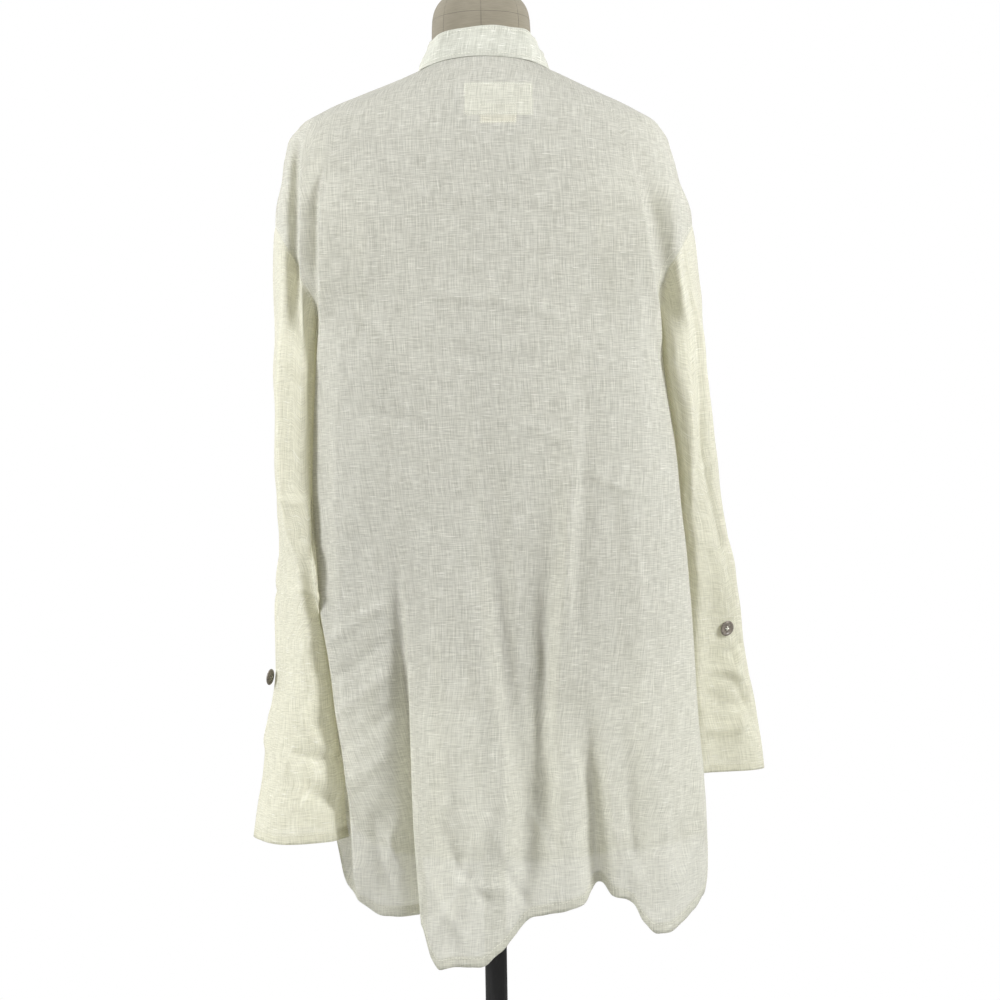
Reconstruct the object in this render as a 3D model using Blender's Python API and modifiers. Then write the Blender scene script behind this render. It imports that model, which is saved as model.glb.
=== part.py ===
"""A sheer linen tunic top, worn by a limbless dress form on a pole and a round base.

Metres, +Z up. The origin is the centre of the base's underside, on the pole's axis. The
garment's front faces -Y and its left side is at +X. Every cloth piece is a thin wall on
each side of a middle surface, lofted through sections that the tables below describe.
"""

import math
from collections import namedtuple

import bmesh
import bpy
import numpy as np
from mathutils import Vector

MM = 0.001

# ---------------------------------------------------------------- driving sizes, in millimetres
CLOTH = 1.5           # wall of one layer of cloth
SEAM = 0.3            # gap between two pieces that are sewn together
PATCH = 0.9           # wall of a label or a binding
RESTING = 0.6         # gap between the cloth and the form where it rests
FACETS = 0.15         # more room where a piece lies along another's flat facets

UNDERARM = 1063.0     # height of the left underarm, where the side seam ends
DROP_END = 1175.0     # height of the left end of the shoulder seam, dropped below the shoulder
NECKLINE = 1325.0     # height of the neckline where it crosses the shoulder seam

SKIRT_ROWS = 15       # rows of faces from the hem to the underarm
ARMHOLE_ROWS = 8      # rows beside the armhole
BACK_COLUMNS = 38     # columns across the back
HALF_FRONT_COLUMNS = 13
DENSE = 360           # samples on a section before it is divided evenly

ARMHOLE_REACH = 0.46  # how far the armhole cuts round the body, in radians of its section
SLIT_SEAM = 1141.0    # the neck slit ends at the level whose seam is about this high
BACK_EDGE = 0.22      # share of the back whose columns make room for each armhole
FRONT_EDGE = 0.45     # share of half of the front that makes room for the armhole or the slit
SLIT_OPEN = 21.0      # half of the slit's width at the neckline
BINDING = 12.0        # width of the slit's binding
BINDING_EDGE = 0.4    # how far the binding's edge lies back from the slit's edge
BINDING_TOP = 0.45    # share of the last row before the neckline that the binding covers
BINDING_FOOT = 0.6    # share of the row below the slit that it covers

BUTTON_DIAMETER = 16.0
BUTTON_HOLE = 1.9
BUTTON_HOLE_RADIUS = 2.1  # from the button's centre to a hole's
BUTTON_STEPS = 20
HOLE_STEPS = 6

POLE_DIAMETER = 22.0
POLE_STEPS = 24
BASE_DIAMETER = 380.0
BASE_THICKNESS = 12.0
BASE_CHAMFER = 3.0
BASE_STEPS = 48
BOSS_DIAMETER = 38.0  # the collar on the base that holds the pole
BOSS_HEIGHT = 14.0
BOSS_CHAMFER = 2.0
TORSO_BOTTOM = 700.0
MERGE = 0.00001       # metres within which a turned profile's ends on the axis are joined

# A row for each level of the body. seam is the height of the left side or shoulder seam and
# right, back and front are the heights where the level crosses the right seam and the two
# centres. The wide and deep columns are the section's half-sizes, and square is its exponent.
Level = namedtuple(
    "Level", "seam right back front wide_left wide_right deep_back deep_front square"
)
BODY = (
    Level(430, 430, 430, 430, 142, 212, 138, 132, 2.5),
    Level(560, 560, 560, 560, 147, 210, 135, 130, 2.5),
    Level(700, 700, 700, 700, 158, 201, 131, 128, 2.5),
    Level(820, 820, 820, 820, 164, 192, 127, 126, 2.5),
    Level(920, 920, 920, 920, 166, 184, 124, 124, 2.5),
    Level(1018, 1016, 1018, 1018, 166, 174, 121, 122, 2.5),
    Level(1063, 1060, 1063, 1060, 168, 171, 119, 120, 2.45),
    Level(1120, 1115, 1118, 1112, 192, 192, 116, 114, 2.4),
    Level(1175, 1169, 1171, 1160, 208, 207, 113, 108, 2.35),
    Level(1220, 1214, 1213, 1192, 201, 195, 110, 104, 2.3),
    Level(1250, 1245, 1242, 1214, 196, 187, 106, 100, 2.25),
    Level(1272, 1267, 1264, 1230, 184, 177, 101, 96, 2.2),
    Level(1285, 1281, 1282, 1241, 163, 158, 95, 92, 2.2),
    Level(1300, 1297, 1300, 1251, 128, 126, 87, 87, 2.1),
    Level(1312, 1311, 1315, 1258, 94, 97, 77, 83, 2.1),
    Level(1325, 1325, 1330, 1264, 62, 67, 64, 79, 2.1),
)

SAG = 1.6             # how late round the section a level leaves its side's height
HEM_MIDDLE = 530.0    # a height near the hem, where the body's width is read for it

# The hem's height at places across the body, from the garment's left side to its right.
Hem = namedtuple("Hem", "across height")
HEM_BACK = (
    Hem(-152, 588), Hem(-142, 552), Hem(-128, 529), Hem(-98, 510), Hem(-58, 509),
    Hem(-49, 478), Hem(-40, 468), Hem(-15, 468), Hem(6, 477), Hem(18, 490),
    Hem(42, 511), Hem(84, 519), Hem(94, 531), Hem(104, 538), Hem(112, 526),
    Hem(130, 519), Hem(138, 501), Hem(151, 490), Hem(168, 494), Hem(186, 502),
    Hem(199, 514), Hem(207, 530), Hem(210, 556),
)
HEM_FRONT = (
    Hem(-152, 588), Hem(-140, 560), Hem(-118, 538), Hem(-60, 521), Hem(0, 516),
    Hem(70, 518), Hem(140, 528), Hem(185, 540), Hem(210, 556),
)

# A row for each long fold. It runs from (top_across, top) down to (foot_across, foot), and
# past its foot in the same line. A fold stands out by height, or sinks where that is
# negative, and leans sideways by lean. left and right are the widths of its two flanks,
# and rise is the length over which it grows from nothing below its top.
Fold = namedtuple("Fold", "top_across top foot_across foot height left right lean rise")
BACK_FOLDS = (
    Fold(-82, 870, -53, 470, 24, 7, 60, -9, 330),      # the deep pleat's leading edge
    Fold(-92, 880, -78, 470, -13, 13, 13, 0, 260),     # the valley that it covers
    Fold(-105, 1060, -93, 840, -4, 15, 13, 0, 90),
    Fold(-130, 800, -132, 500, 8, 14, 20, 0, 200),
    Fold(-17, 1080, 12, 760, -6, 15, 18, 0, 180),
    Fold(-28, 880, 2, 700, 5, 16, 16, 0, 150),
    Fold(92, 1060, 58, 700, 8, 13, 26, 0, 220),
    Fold(53, 850, 55, 650, -7, 9, 9, 0, 160),
    Fold(88, 720, 104, 530, -15, 12, 10, 0, 170),
    Fold(150, 800, 152, 500, 12, 26, 24, 0, 240),
    Fold(28, 700, 24, 500, -6, 14, 16, 0, 180),
    Fold(-166, 1270, -166, 1080, -6, 7, 6, 0, 70),     # gathers beside the left armhole
    Fold(162, 1260, 172, 1080, -6, 6, 7, 0, 70),       # and beside the right one
)
FRONT_FOLDS = (
    Fold(-70, 1080, -84, 520, 9, 16, 20, 0, 400),
    Fold(-45, 1000, -50, 520, -7, 14, 14, 0, 380),
    Fold(10, 1060, 4, 520, 7, 18, 22, 0, 420),
    Fold(48, 1000, 62, 520, -8, 16, 15, 0, 360),
    Fold(96, 1080, 118, 520, 11, 18, 22, 0, 420),
    Fold(-128, 1000, -122, 520, -7, 12, 14, 0, 330),
    Fold(150, 950, 164, 520, -7, 12, 14, 0, 300),
)
SIDE_FADE = 0.30      # sine of the section's angle within which the folds die at a side seam

# A row for each section of a sleeve, from below the armhole to the cuff: its height at the
# outer edge, its centre, its half-sizes across and deep, and its turn in degrees.
Section = namedtuple("Section", "height x y wide deep turn")
LEFT_SLEEVE = (
    Section(1030, 191.5, 4, 18, 72, 18),
    Section(960, 192, 8, 18, 70, 18),
    Section(890, 188.5, 14, 18, 66, 20),
    Section(820, 186.5, 26, 17, 58, 24),
    Section(750, 185, 44, 19, 52, 24),
    Section(690, 186, 60, 26, 50, 24),
    Section(640, 184, 74, 33, 48, 26),
    Section(606, 185, 82, 37, 47, 26),
    Section(581, 185, 87, 41, 46, 26),
)
RIGHT_SLEEVE = (
    Section(1028, -199.5, -6, 22, 70, 0),
    Section(960, -207, -20, 23, 66, 0),
    Section(890, -213.5, -42, 26.5, 61, -2),
    Section(820, -219, -66, 33, 55, -5),
    Section(760, -222, -88, 39, 47, -8),
    Section(700, -229, -104, 42, 46, -10),
    Section(650, -235, -116, 44, 45, -12),
    Section(614, -239, -124, 45, 45, -15),
)
SLEEVE_TURNS = (0.0, 0.09, 0.2, 0.36, 0.56, 0.78, 1.0)   # rows between the armhole and row 1
SLEEVE_LEAVES = 22.0  # how strongly the sleeve starts off in the line of the body's cloth
SLEEVE_FALLS = 60.0   # how strongly it then hangs straight down

# The collar's top edge, round the neck from the garment's left front end to its right one.
CollarTop = namedtuple("CollarTop", "angle x y z")
COLLAR = (
    CollarTop(-75, 25, -68, 1290), CollarTop(-60, 36, -57, 1300),
    CollarTop(-30, 49, -31, 1328), CollarTop(0, 53, -2, 1349),
    CollarTop(30, 47, 30, 1355), CollarTop(60, 26, 50, 1359), CollarTop(90, -6, 57, 1361),
    CollarTop(120, -34, 47, 1361), CollarTop(150, -51, 25, 1358),
    CollarTop(180, -57, -5, 1353), CollarTop(200, -64, -26, 1346),
    CollarTop(225, -62, -54, 1327), CollarTop(243, -44, -76, 1303), CollarTop(255, -31, -84, 1291),
)
COLLAR_ROLL = 3.0     # how far the band bows out above its seam
ROLL_ENDS = 0.71      # share of the band's height where it no longer bows out
COLLAR_ROWS = (0.0, 0.16, 0.5, 1.0)

# The form below the shoulders, and its neck above the neckline.
Torso = namedtuple("Torso", "height wide back front")
TORSO = (
    Torso(700, 148, 96, 92), Torso(760, 154, 100, 96), Torso(840, 150, 98, 92),
    Torso(900, 134, 88, 84), Torso(960, 121, 80, 82), Torso(1020, 128, 86, 94),
    Torso(1063, 136, 93, 104), Torso(1118, 148, 100, 104), Torso(1175, 158, 102, 99),
    Torso(1220, 170, 101, 97), Torso(1250, 178, 99, 95),
)
NECK = (
    Torso(1336, 51, 54, 60), Torso(1350, 50, 51, 56), Torso(1377, 50, 50, 54),
    Torso(1390, 47.5, 47, 51), Torso(1400, 40, 40, 43), Torso(1407, 27, 27, 29),
    Torso(1410, 11, 11, 12),
)
LABEL_ROOM = 5.0      # extra room between the cloth and the form at the two centres
FORM_SQUARE = 0.9     # exponent of the form's sections

# Labels on the inside of the back: centre across and up, and size, before the cloth's slope.
Label = namedtuple("Label", "name across height wide tall depth")
LABELS = (
    Label("neck_label", 15.5, 1283.0, 66.0, 34.0, 1),
    Label("size_tab", 15.0, 1268.0, 35.0, 20.0, 2),
)
LABEL_ROWS = 4
LABEL_COLUMNS = 5

# Each sleeve's button: the sleeve, its height, its turn round the section, 0 outermost, and
# the degrees by which it swings forward on its thread.
Button = namedtuple("Button", "name sleeve height turn swing")
BUTTONS = (
    Button("button_left", "sleeve_left", 729.0, -20.0, -32.0),
    Button("button_right", "sleeve_right", 766.0, 72.0, 0.0),
)
# A button's profile from the centre of its face round to the centre of its back.
Turned = namedtuple("Turned", "radius height")
BUTTON_PROFILE = (
    Turned(0.0, 1.7), Turned(5.0, 1.7), Turned(5.9, 2.5), Turned(6.9, 2.6), Turned(7.8, 2.1),
    Turned(8.0, 1.3), Turned(7.2, 0.1), Turned(5.6, 0.0), Turned(0.0, 0.0),
)

Colour = namedtuple("Colour", "red green blue roughness metallic")
LINEN = Colour(0.86, 0.85, 0.74, 0.9, 0.0)
LABEL_CLOTH = Colour(0.9, 0.89, 0.84, 0.8, 0.0)
CANVAS = Colour(0.48, 0.43, 0.37, 0.9, 0.0)
HORN = Colour(0.2, 0.18, 0.16, 0.4, 0.0)
BLACK_METAL = Colour(0.02, 0.02, 0.02, 0.4, 0.6)


# ---------------------------------------------------------------- scene, materials and meshes
def clear_scene():
    for thing in list(bpy.data.objects):
        bpy.data.objects.remove(thing, do_unlink=True)
    for kind in (bpy.data.meshes, bpy.data.curves, bpy.data.materials, bpy.data.collections):
        for block in list(kind):
            kind.remove(block)


def new_collection(name):
    made = bpy.data.collections.new(name)
    bpy.context.scene.collection.children.link(made)
    return made


def principled(name, colour):
    material = bpy.data.materials.new(name)
    material.use_nodes = True
    shader = material.node_tree.nodes["Principled BSDF"]
    shader.inputs["Base Color"].default_value = (colour.red, colour.green, colour.blue, 1.0)
    shader.inputs["Roughness"].default_value = colour.roughness
    shader.inputs["Metallic"].default_value = colour.metallic
    return material


def add_mesh(name, points, faces, material, collection):
    """A new object in the collection, from points in metres."""
    mesh = bpy.data.meshes.new(name)
    mesh.from_pydata([tuple(point) for point in points], [], faces)
    mesh.validate()
    mesh.shade_smooth()
    mesh.materials.append(material)
    made = bpy.data.objects.new(name, mesh)
    collection.objects.link(made)
    return made


def unit(vectors):
    return vectors / np.maximum(np.linalg.norm(vectors, axis=-1, keepdims=True), 1e-12)


def grid_faces(rows, columns, closed=False, start=0):
    """Quads on a grid of points that is stored row by row."""
    across = columns if closed else columns - 1
    faces = []
    for row in range(rows - 1):
        for column in range(across):
            after = (column + 1) % columns
            low, high = start + row * columns, start + (row + 1) * columns
            faces.append((low + column, low + after, high + after, high + column))
    return faces


def point_normals(points, faces):
    """One unit normal for each point, weighted by the faces' areas."""
    corners = points[np.array(faces)]
    flat = np.cross(corners[:, 2] - corners[:, 0], corners[:, 3] - corners[:, 1])
    normals = np.zeros_like(points)
    for corner in range(4):
        np.add.at(normals, np.array(faces)[:, corner], flat)
    return unit(normals)


def cloth_wall(name, points, normals, faces, thickness, material, collection):
    """A closed wall of the given thickness about a middle surface, in millimetres."""
    count = len(points)
    outside = points + normals * thickness / 2
    inside = points - normals * thickness / 2
    used = {}
    for face in faces:
        for first, second in zip(face, face[1:] + face[:1]):
            used[(first, second)] = True
    rims = [
        (first, first + count, second + count, second)
        for first, second in used
        if (second, first) not in used
    ]
    backs = [tuple(corner + count for corner in reversed(face)) for face in faces]
    walls = list(faces) + backs + rims
    return add_mesh(name, np.vstack([outside, inside]) * MM, walls, material, collection)


def turned_solid(name, profile, steps, material, collection):
    """A solid turned about the pole's axis, from a profile listed top to bottom."""
    mesh = bpy.data.meshes.new(name)
    edges = [(index, index + 1) for index in range(len(profile) - 1)]
    mesh.from_pydata([(radius * MM, 0, height * MM) for radius, height in profile], edges, [])
    mesh.materials.append(material)
    made = bpy.data.objects.new(name, mesh)
    collection.objects.link(made)
    turned = made.modifiers.new("turn", "SCREW")
    turned.steps = turned.render_steps = steps
    turned.use_merge_vertices = True
    turned.merge_threshold = MERGE
    return made


# ---------------------------------------------------------------- smooth tables
def smooth_table(keys, values, at):
    """Values of a table between its rows, on a curve that never overshoots a row."""
    keys = np.asarray(keys, float)
    values = np.asarray(values, float)
    gaps = np.diff(keys)
    slopes = np.diff(values) / gaps
    tangents = np.zeros_like(values)
    tangents[0], tangents[-1] = slopes[0], slopes[-1]
    same_way = slopes[:-1] * slopes[1:] > 0
    heavy, light = 2 * gaps[1:] + gaps[:-1], gaps[1:] + 2 * gaps[:-1]
    safe_low = np.where(same_way, slopes[:-1], 1.0)
    safe_high = np.where(same_way, slopes[1:], 1.0)
    mean = (heavy + light) / (heavy / safe_low + light / safe_high)
    tangents[1:-1] = np.where(same_way, mean, 0.0)
    at = np.clip(at, keys[0], keys[-1])
    row = np.clip(np.searchsorted(keys, at, side="right") - 1, 0, len(keys) - 2)
    part = (at - keys[row]) / gaps[row]
    left = values[row] + part * gaps[row] * tangents[row]
    right = values[row + 1] - (1 - part) * gaps[row] * tangents[row + 1]
    blend = part * part * (3 - 2 * part)
    return left * (1 - blend) + right * blend


def column(table, name):
    return [getattr(row, name) for row in table]


def read(table, key, name, at):
    return smooth_table(column(table, key), column(table, name), at)


def ease(value):
    value = np.clip(value, 0.0, 1.0)
    return value * value * (3 - 2 * value)


def power(value, exponent):
    return np.sign(value) * np.abs(value) ** exponent


# ---------------------------------------------------------------- the body's surface
def body_point(angle, seam):
    """A point of the unfolded body: angle 0 is its left seam, 90 degrees its centre back."""
    cosine, sine = np.cos(angle), np.sin(angle)
    square = read(BODY, "seam", "square", seam)
    left = read(BODY, "seam", "wide_left", seam)
    right = read(BODY, "seam", "wide_right", seam)
    wide = np.where(cosine >= 0, left, right)
    behind = sine >= 0
    deep_back = read(BODY, "seam", "deep_back", seam)
    deep_front = read(BODY, "seam", "deep_front", seam)
    deep = np.where(behind, deep_back, deep_front)
    back = read(BODY, "seam", "back", seam)
    front = read(BODY, "seam", "front", seam)
    side = seam + (read(BODY, "seam", "right", seam) - seam) * (1 - cosine) / 2
    height = side + (np.where(behind, back, front) - side) * np.abs(sine) ** SAG
    x = wide * power(cosine, 2 / square)
    y = deep * power(sine, 2 / square)
    outward = np.stack(
        [
            power(cosine, 2 - 2 / square) / wide,
            power(sine, 2 - 2 / square) / deep,
            np.zeros_like(x),
        ],
        axis=-1,
    )
    return np.stack([x, y, height], axis=-1), unit(outward)


def folded_point(angle, seam):
    """A point of the body with its folds."""
    point, outward = body_point(angle, seam)
    across, height = -point[..., 0], point[..., 2]
    along = np.stack([outward[..., 1], -outward[..., 0], np.zeros_like(across)], axis=-1)
    rightwards = np.where(along[..., :1] > 0, -along, along)
    sine = np.sin(angle)
    for folds, here in ((BACK_FOLDS, sine > 0), (FRONT_FOLDS, sine < 0)):
        fade = np.where(here, ease(np.abs(sine) / SIDE_FADE), 0.0)
        for fold in folds:
            run = (fold.top - height) / (fold.top - fold.foot)
            place = fold.top_across + (fold.foot_across - fold.top_across) * run
            offset = across - place
            flank = np.where(offset < 0, fold.left, fold.right)
            grown = ease((fold.top - height) / fold.rise)
            amount = grown * fade * np.exp(-((offset / flank) ** 2))
            point = point + outward * (amount * fold.height)[..., None]
            point = point + rightwards * (amount * fold.lean)[..., None]
    return point


def hem_height(angle):
    across = -body_point(angle, np.full_like(angle, HEM_MIDDLE))[0][:, 0]
    back = np.interp(across, column(HEM_BACK, "across"), column(HEM_BACK, "height"))
    front = np.interp(across, column(HEM_FRONT, "across"), column(HEM_FRONT, "height"))
    return np.where(np.sin(angle) >= 0, back, front)


def armhole_rows():
    """Seam heights of the rows beside the armhole, closer together at its two ends."""
    steps = np.arange(ARMHOLE_ROWS + 1) / ARMHOLE_ROWS
    crowded = (1 - np.cos(math.pi * steps)) / 2
    return UNDERARM + (DROP_END - UNDERARM) * (steps + crowded) / 2


def body_rows():
    """Each row's share of the way from the hem to the underarm, and its seam height."""
    rows = [(step / SKIRT_ROWS, UNDERARM) for step in range(SKIRT_ROWS)]
    rows += [(1.0, height) for height in armhole_rows()]
    rows += [(1.0, level.seam) for level in BODY if level.seam > DROP_END]
    return rows


def armhole_angle(seam):
    middle = (UNDERARM + DROP_END) / 2
    reach = (seam - middle) / (DROP_END - middle)
    return ARMHOLE_REACH * math.sqrt(max(0.0, 1 - reach * reach))


def slit_angle(seam):
    """Half of the slit's angle at a row of the front, 0 below the slit."""
    height, top, foot = read(BODY, "seam", "front", np.array([seam, NECKLINE, SLIT_SEAM]))
    share = max(0.0, (height - foot) / (top - foot))
    wide = float(read(BODY, "seam", "wide_right", seam))
    square = float(read(BODY, "seam", "square", seam))
    return math.asin(min(1.0, (SLIT_OPEN * share / wide)) ** (square / 2))


def section_row(ends, cuts, share, seam, columns, edge):
    """Points along one folded section between two angles, less what is cut from its ends."""
    angle = np.linspace(ends[0], ends[1], DENSE)
    low = hem_height(angle) if share < 1 else np.full(DENSE, seam)
    curve = folded_point(angle, low + (seam - low) * share)
    length = np.concatenate([[0], np.cumsum(np.linalg.norm(np.diff(curve, axis=0), axis=1))])
    part = np.arange(columns + 1) / columns
    even = part * length[-1]
    turned = np.abs(angle - angle[0])
    first = np.interp(cuts[0], turned, length)
    last = np.interp(turned[-1] - cuts[1], turned, length)
    room = edge * length[-1]
    even = np.where(part < edge, first + (room - first) * part / edge, even)
    back_part = 1 - part
    squeezed = last - (last - length[-1] + room) * back_part / edge
    even = np.where(back_part < edge, squeezed, even)
    return np.stack([np.interp(even, length, curve[:, axis]) for axis in range(3)], axis=1)


def armhole_cut(share, seam):
    return armhole_angle(seam) if share == 1 and seam < DROP_END else 0.0


def back_grid():
    """From the left seam to the right one, a row for each level."""
    rows = []
    for share, seam in body_rows():
        cut = armhole_cut(share, seam)
        ends = (0.0, math.pi)
        rows.append(section_row(ends, (cut, cut), share, seam, BACK_COLUMNS, BACK_EDGE))
    return np.array(rows)


def front_grid(side_angle):
    """Half of the front, from its side seam at the given angle to the centre or the slit."""
    rows = []
    for share, seam in body_rows():
        gap = slit_angle(seam) if share == 1 else 0.0
        cuts = (armhole_cut(share, seam), gap)
        ends = (side_angle, -math.pi / 2)
        rows.append(section_row(ends, cuts, share, seam, HALF_FRONT_COLUMNS, FRONT_EDGE))
    return np.array(rows)


def shared_normals(pieces):
    """Points that several pieces share get the same mean normal."""
    sums = {}
    for points, normals in pieces:
        for point, normal in zip(np.round(points, 3), normals):
            sums.setdefault(tuple(point), np.zeros(3))
            sums[tuple(point)] = sums[tuple(point)] + normal
    return [
        np.array([unit(sums[tuple(point)]) for point in np.round(points, 3)])
        for points, normals in pieces
    ]


def pulled_in(grid, normals, amount):
    """The grid with its first and last columns moved in from their seams."""
    moved = grid.copy()
    for edge, inner in ((0, 1), (-1, -2)):
        inward = grid[:, inner] - grid[:, edge]
        lift = np.sum(inward * normals[:, edge], axis=1, keepdims=True)
        moved[:, edge] += unit(inward - lift * normals[:, edge]) * amount
    return moved


class Body:
    """The back and front, with what the pieces that join them need."""

    def __init__(self):
        self.back = back_grid()
        left, right = front_grid(0.0), front_grid(-math.pi)
        rows, columns = self.back.shape[:2]
        half = left.shape[1]
        self.rows = rows
        self.seams = [seam for share, seam in body_rows()]
        back_points = self.back.reshape(-1, 3)
        back_faces = grid_faces(rows, columns)
        left_points = left.reshape(-1, 3)
        right_points = right.reshape(-1, 3)
        left_faces = [tuple(reversed(face)) for face in grid_faces(rows, half)]
        right_faces = grid_faces(rows, half)
        grids = ((back_points, back_faces), (left_points, left_faces), (right_points, right_faces))
        plain = [(points, point_normals(points, faces)) for points, faces in grids]
        shared = shared_normals(plain)
        self.back_normals = shared[0].reshape(rows, columns, 3)
        self.left, self.right = left, right
        self.left_normals = shared[1].reshape(rows, half, 3)
        self.right_normals = shared[2].reshape(rows, half, 3)
        self.first_armhole = SKIRT_ROWS
        self.last_armhole = SKIRT_ROWS + ARMHOLE_ROWS


def build_back(body, material, collection):
    moved = pulled_in(body.back, body.back_normals, SEAM / 2)
    rows, columns = moved.shape[:2]
    faces = grid_faces(rows, columns)
    points = moved.reshape(-1, 3)
    normals = body.back_normals.reshape(-1, 3)
    return cloth_wall("back", points, normals, faces, CLOTH, material, collection)


def build_front(body, material, collection):
    """One panel: its two halves are joined at the centre below the slit."""
    rows, half = body.left.shape[:2]
    left = pulled_in(body.left, body.left_normals, SEAM / 2)
    right = pulled_in(body.right, body.right_normals, SEAM / 2)
    joined = np.linalg.norm(body.left[:, -1] - body.right[:, -1], axis=1) < 0.01
    left[joined, -1] = body.left[joined, -1]
    points = np.vstack([left.reshape(-1, 3), right.reshape(-1, 3)])
    normals = np.vstack([body.left_normals.reshape(-1, 3), body.right_normals.reshape(-1, 3)])
    faces = [tuple(reversed(face)) for face in grid_faces(rows, half)]
    faces += grid_faces(rows, half, start=rows * half)
    same = {
        rows * half + row * half + half - 1: row * half + half - 1
        for row in range(rows)
        if joined[row]
    }
    faces = [tuple(same.get(corner, corner) for corner in face) for face in faces]
    used = sorted({corner for face in faces for corner in face})
    place = {corner: index for index, corner in enumerate(used)}
    faces = [tuple(place[corner] for corner in face) for face in faces]
    return cloth_wall("front", points[used], normals[used], faces, CLOTH, material, collection)


# ---------------------------------------------------------------- sleeves
def armhole_ring(body, left_side):
    """The armhole's edge from the shoulder seam's end, down its back and up its front."""
    low, high = body.first_armhole, body.last_armhole
    edge = 0 if left_side else -1
    back, back_normals = body.back[:, edge], body.back_normals[:, edge]
    back_inner = body.back[:, 1 if left_side else -2]
    front = body.left if left_side else body.right
    front_normals = (body.left_normals if left_side else body.right_normals)[:, 0]
    down = list(range(high, low, -1))
    up = list(range(low, high))
    points = np.vstack([back[down], front[up, 0]])
    inner = np.vstack([back_inner[down], front[up, 1]])
    normals = np.vstack([back_normals[down], front_normals[up]])
    tangent = unit(np.roll(points, -1, axis=0) - np.roll(points, 1, axis=0))
    away = unit(np.cross(normals, tangent))
    away *= np.where(np.sum(away * (points - inner), axis=1) < 0, -1.0, 1.0)[:, None]
    away[0] *= -np.sign(away[0, 2])
    away[len(down)] *= np.sign(away[len(down), 2])
    return points, normals, away


def section_ring(section, side, turns):
    """A sleeve's section: turn 0 is its outer edge, and a quarter turn on is its back."""
    across = section.wide * np.cos(turns)
    deep = section.deep * np.sin(turns)
    slant = math.radians(section.turn)
    x = section.x + side * (across * math.cos(slant) - deep * math.sin(slant))
    y = section.y + deep * math.cos(slant) + across * math.sin(slant)
    return np.stack([x, y, np.full_like(x, section.height)], axis=1)


def sleeve_grid(body, sections, left_side):
    start, start_normals, away = armhole_ring(body, left_side)
    side = 1.0 if left_side else -1.0
    turns = 2 * math.pi * np.arange(len(start)) / len(start)
    first = section_ring(sections[0], side, turns)
    lap = np.clip((1 - np.cos(turns) - np.sin(turns)) / 2, 0, 1)[:, None]
    start = start + away * SEAM + start_normals * (CLOTH + SEAM) * lap
    outward = np.array([side, 0.0, 0.0])
    leave = unit(away + (0.3 + 0.5 * lap) * outward) * SLEEVE_LEAVES
    fall = np.array([0.0, 0.0, -SLEEVE_FALLS])
    rows = []
    for share in SLEEVE_TURNS:
        square, cube = share**2, share**3
        rows.append(
            start * (2 * cube - 3 * square + 1)
            + leave * (cube - 2 * square + share)
            + first * (3 * square - 2 * cube)
            + fall * (cube - square)
        )
    rows += [section_ring(section, side, turns) for section in sections[1:]]
    return np.array(rows), start_normals


def build_sleeve(name, body, sections, left_side, material, collection):
    grid, start_normals = sleeve_grid(body, sections, left_side)
    rows, columns = grid.shape[:2]
    faces = grid_faces(rows, columns, closed=True)
    if left_side:
        faces = [tuple(reversed(face)) for face in faces]
    points = grid.reshape(-1, 3)
    normals = point_normals(points, faces).reshape(rows, columns, 3)
    normals[0] = start_normals
    cloth_wall(name, points, normals.reshape(-1, 3), faces, CLOTH, material, collection)
    return grid, normals


# ---------------------------------------------------------------- neck pieces and labels
def neckline(body):
    """The neckline's points and normals, from the slit's left edge round to its right one."""
    top = -1
    points = np.vstack([body.left[top, :0:-1], body.back[top, :-1:2], body.right[top]])
    normals = np.vstack([
        body.left_normals[top, :0:-1], body.back_normals[top, :-1:2], body.right_normals[top]
    ])
    return points, normals


def build_collar(body, material, collection):
    """A band that stands on the neckline and is open at the front."""
    foot, lift = neckline(body)
    level = BODY[-1]
    wide = np.where(foot[:, 0] > 0, level.wide_left, level.wide_right)
    deep = np.where(foot[:, 1] > 0, level.deep_back, level.deep_front)
    degrees = np.degrees(np.arctan2(foot[:, 1] / deep, foot[:, 0] / wide))
    degrees = np.where(degrees < -90, degrees + 360, degrees)
    top = np.stack([read(COLLAR, "angle", name, degrees) for name in ("x", "y", "z")], axis=1)
    foot = foot + lift * (CLOTH / 2 + SEAM + FACETS)
    rows = []
    for share in COLLAR_ROWS:
        straight = foot + (top - foot) * share
        bow = math.sin(math.pi * min(1.0, share / ROLL_ENDS)) * (1 - share)
        rows.append(straight + lift * COLLAR_ROLL * bow)
    grid = np.array(rows)
    shape = grid.shape[:2]
    points = grid.reshape(-1, 3)
    faces = grid_faces(*shape)
    normals = point_normals(points, faces).reshape(shape + (3,))
    flat = normals[0] - np.sum(normals[0] * lift, axis=1, keepdims=True) * lift
    normals[0] = unit(flat)
    return cloth_wall(
        "collar", points, normals.reshape(-1, 3), faces, CLOTH, material, collection
    )


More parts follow.
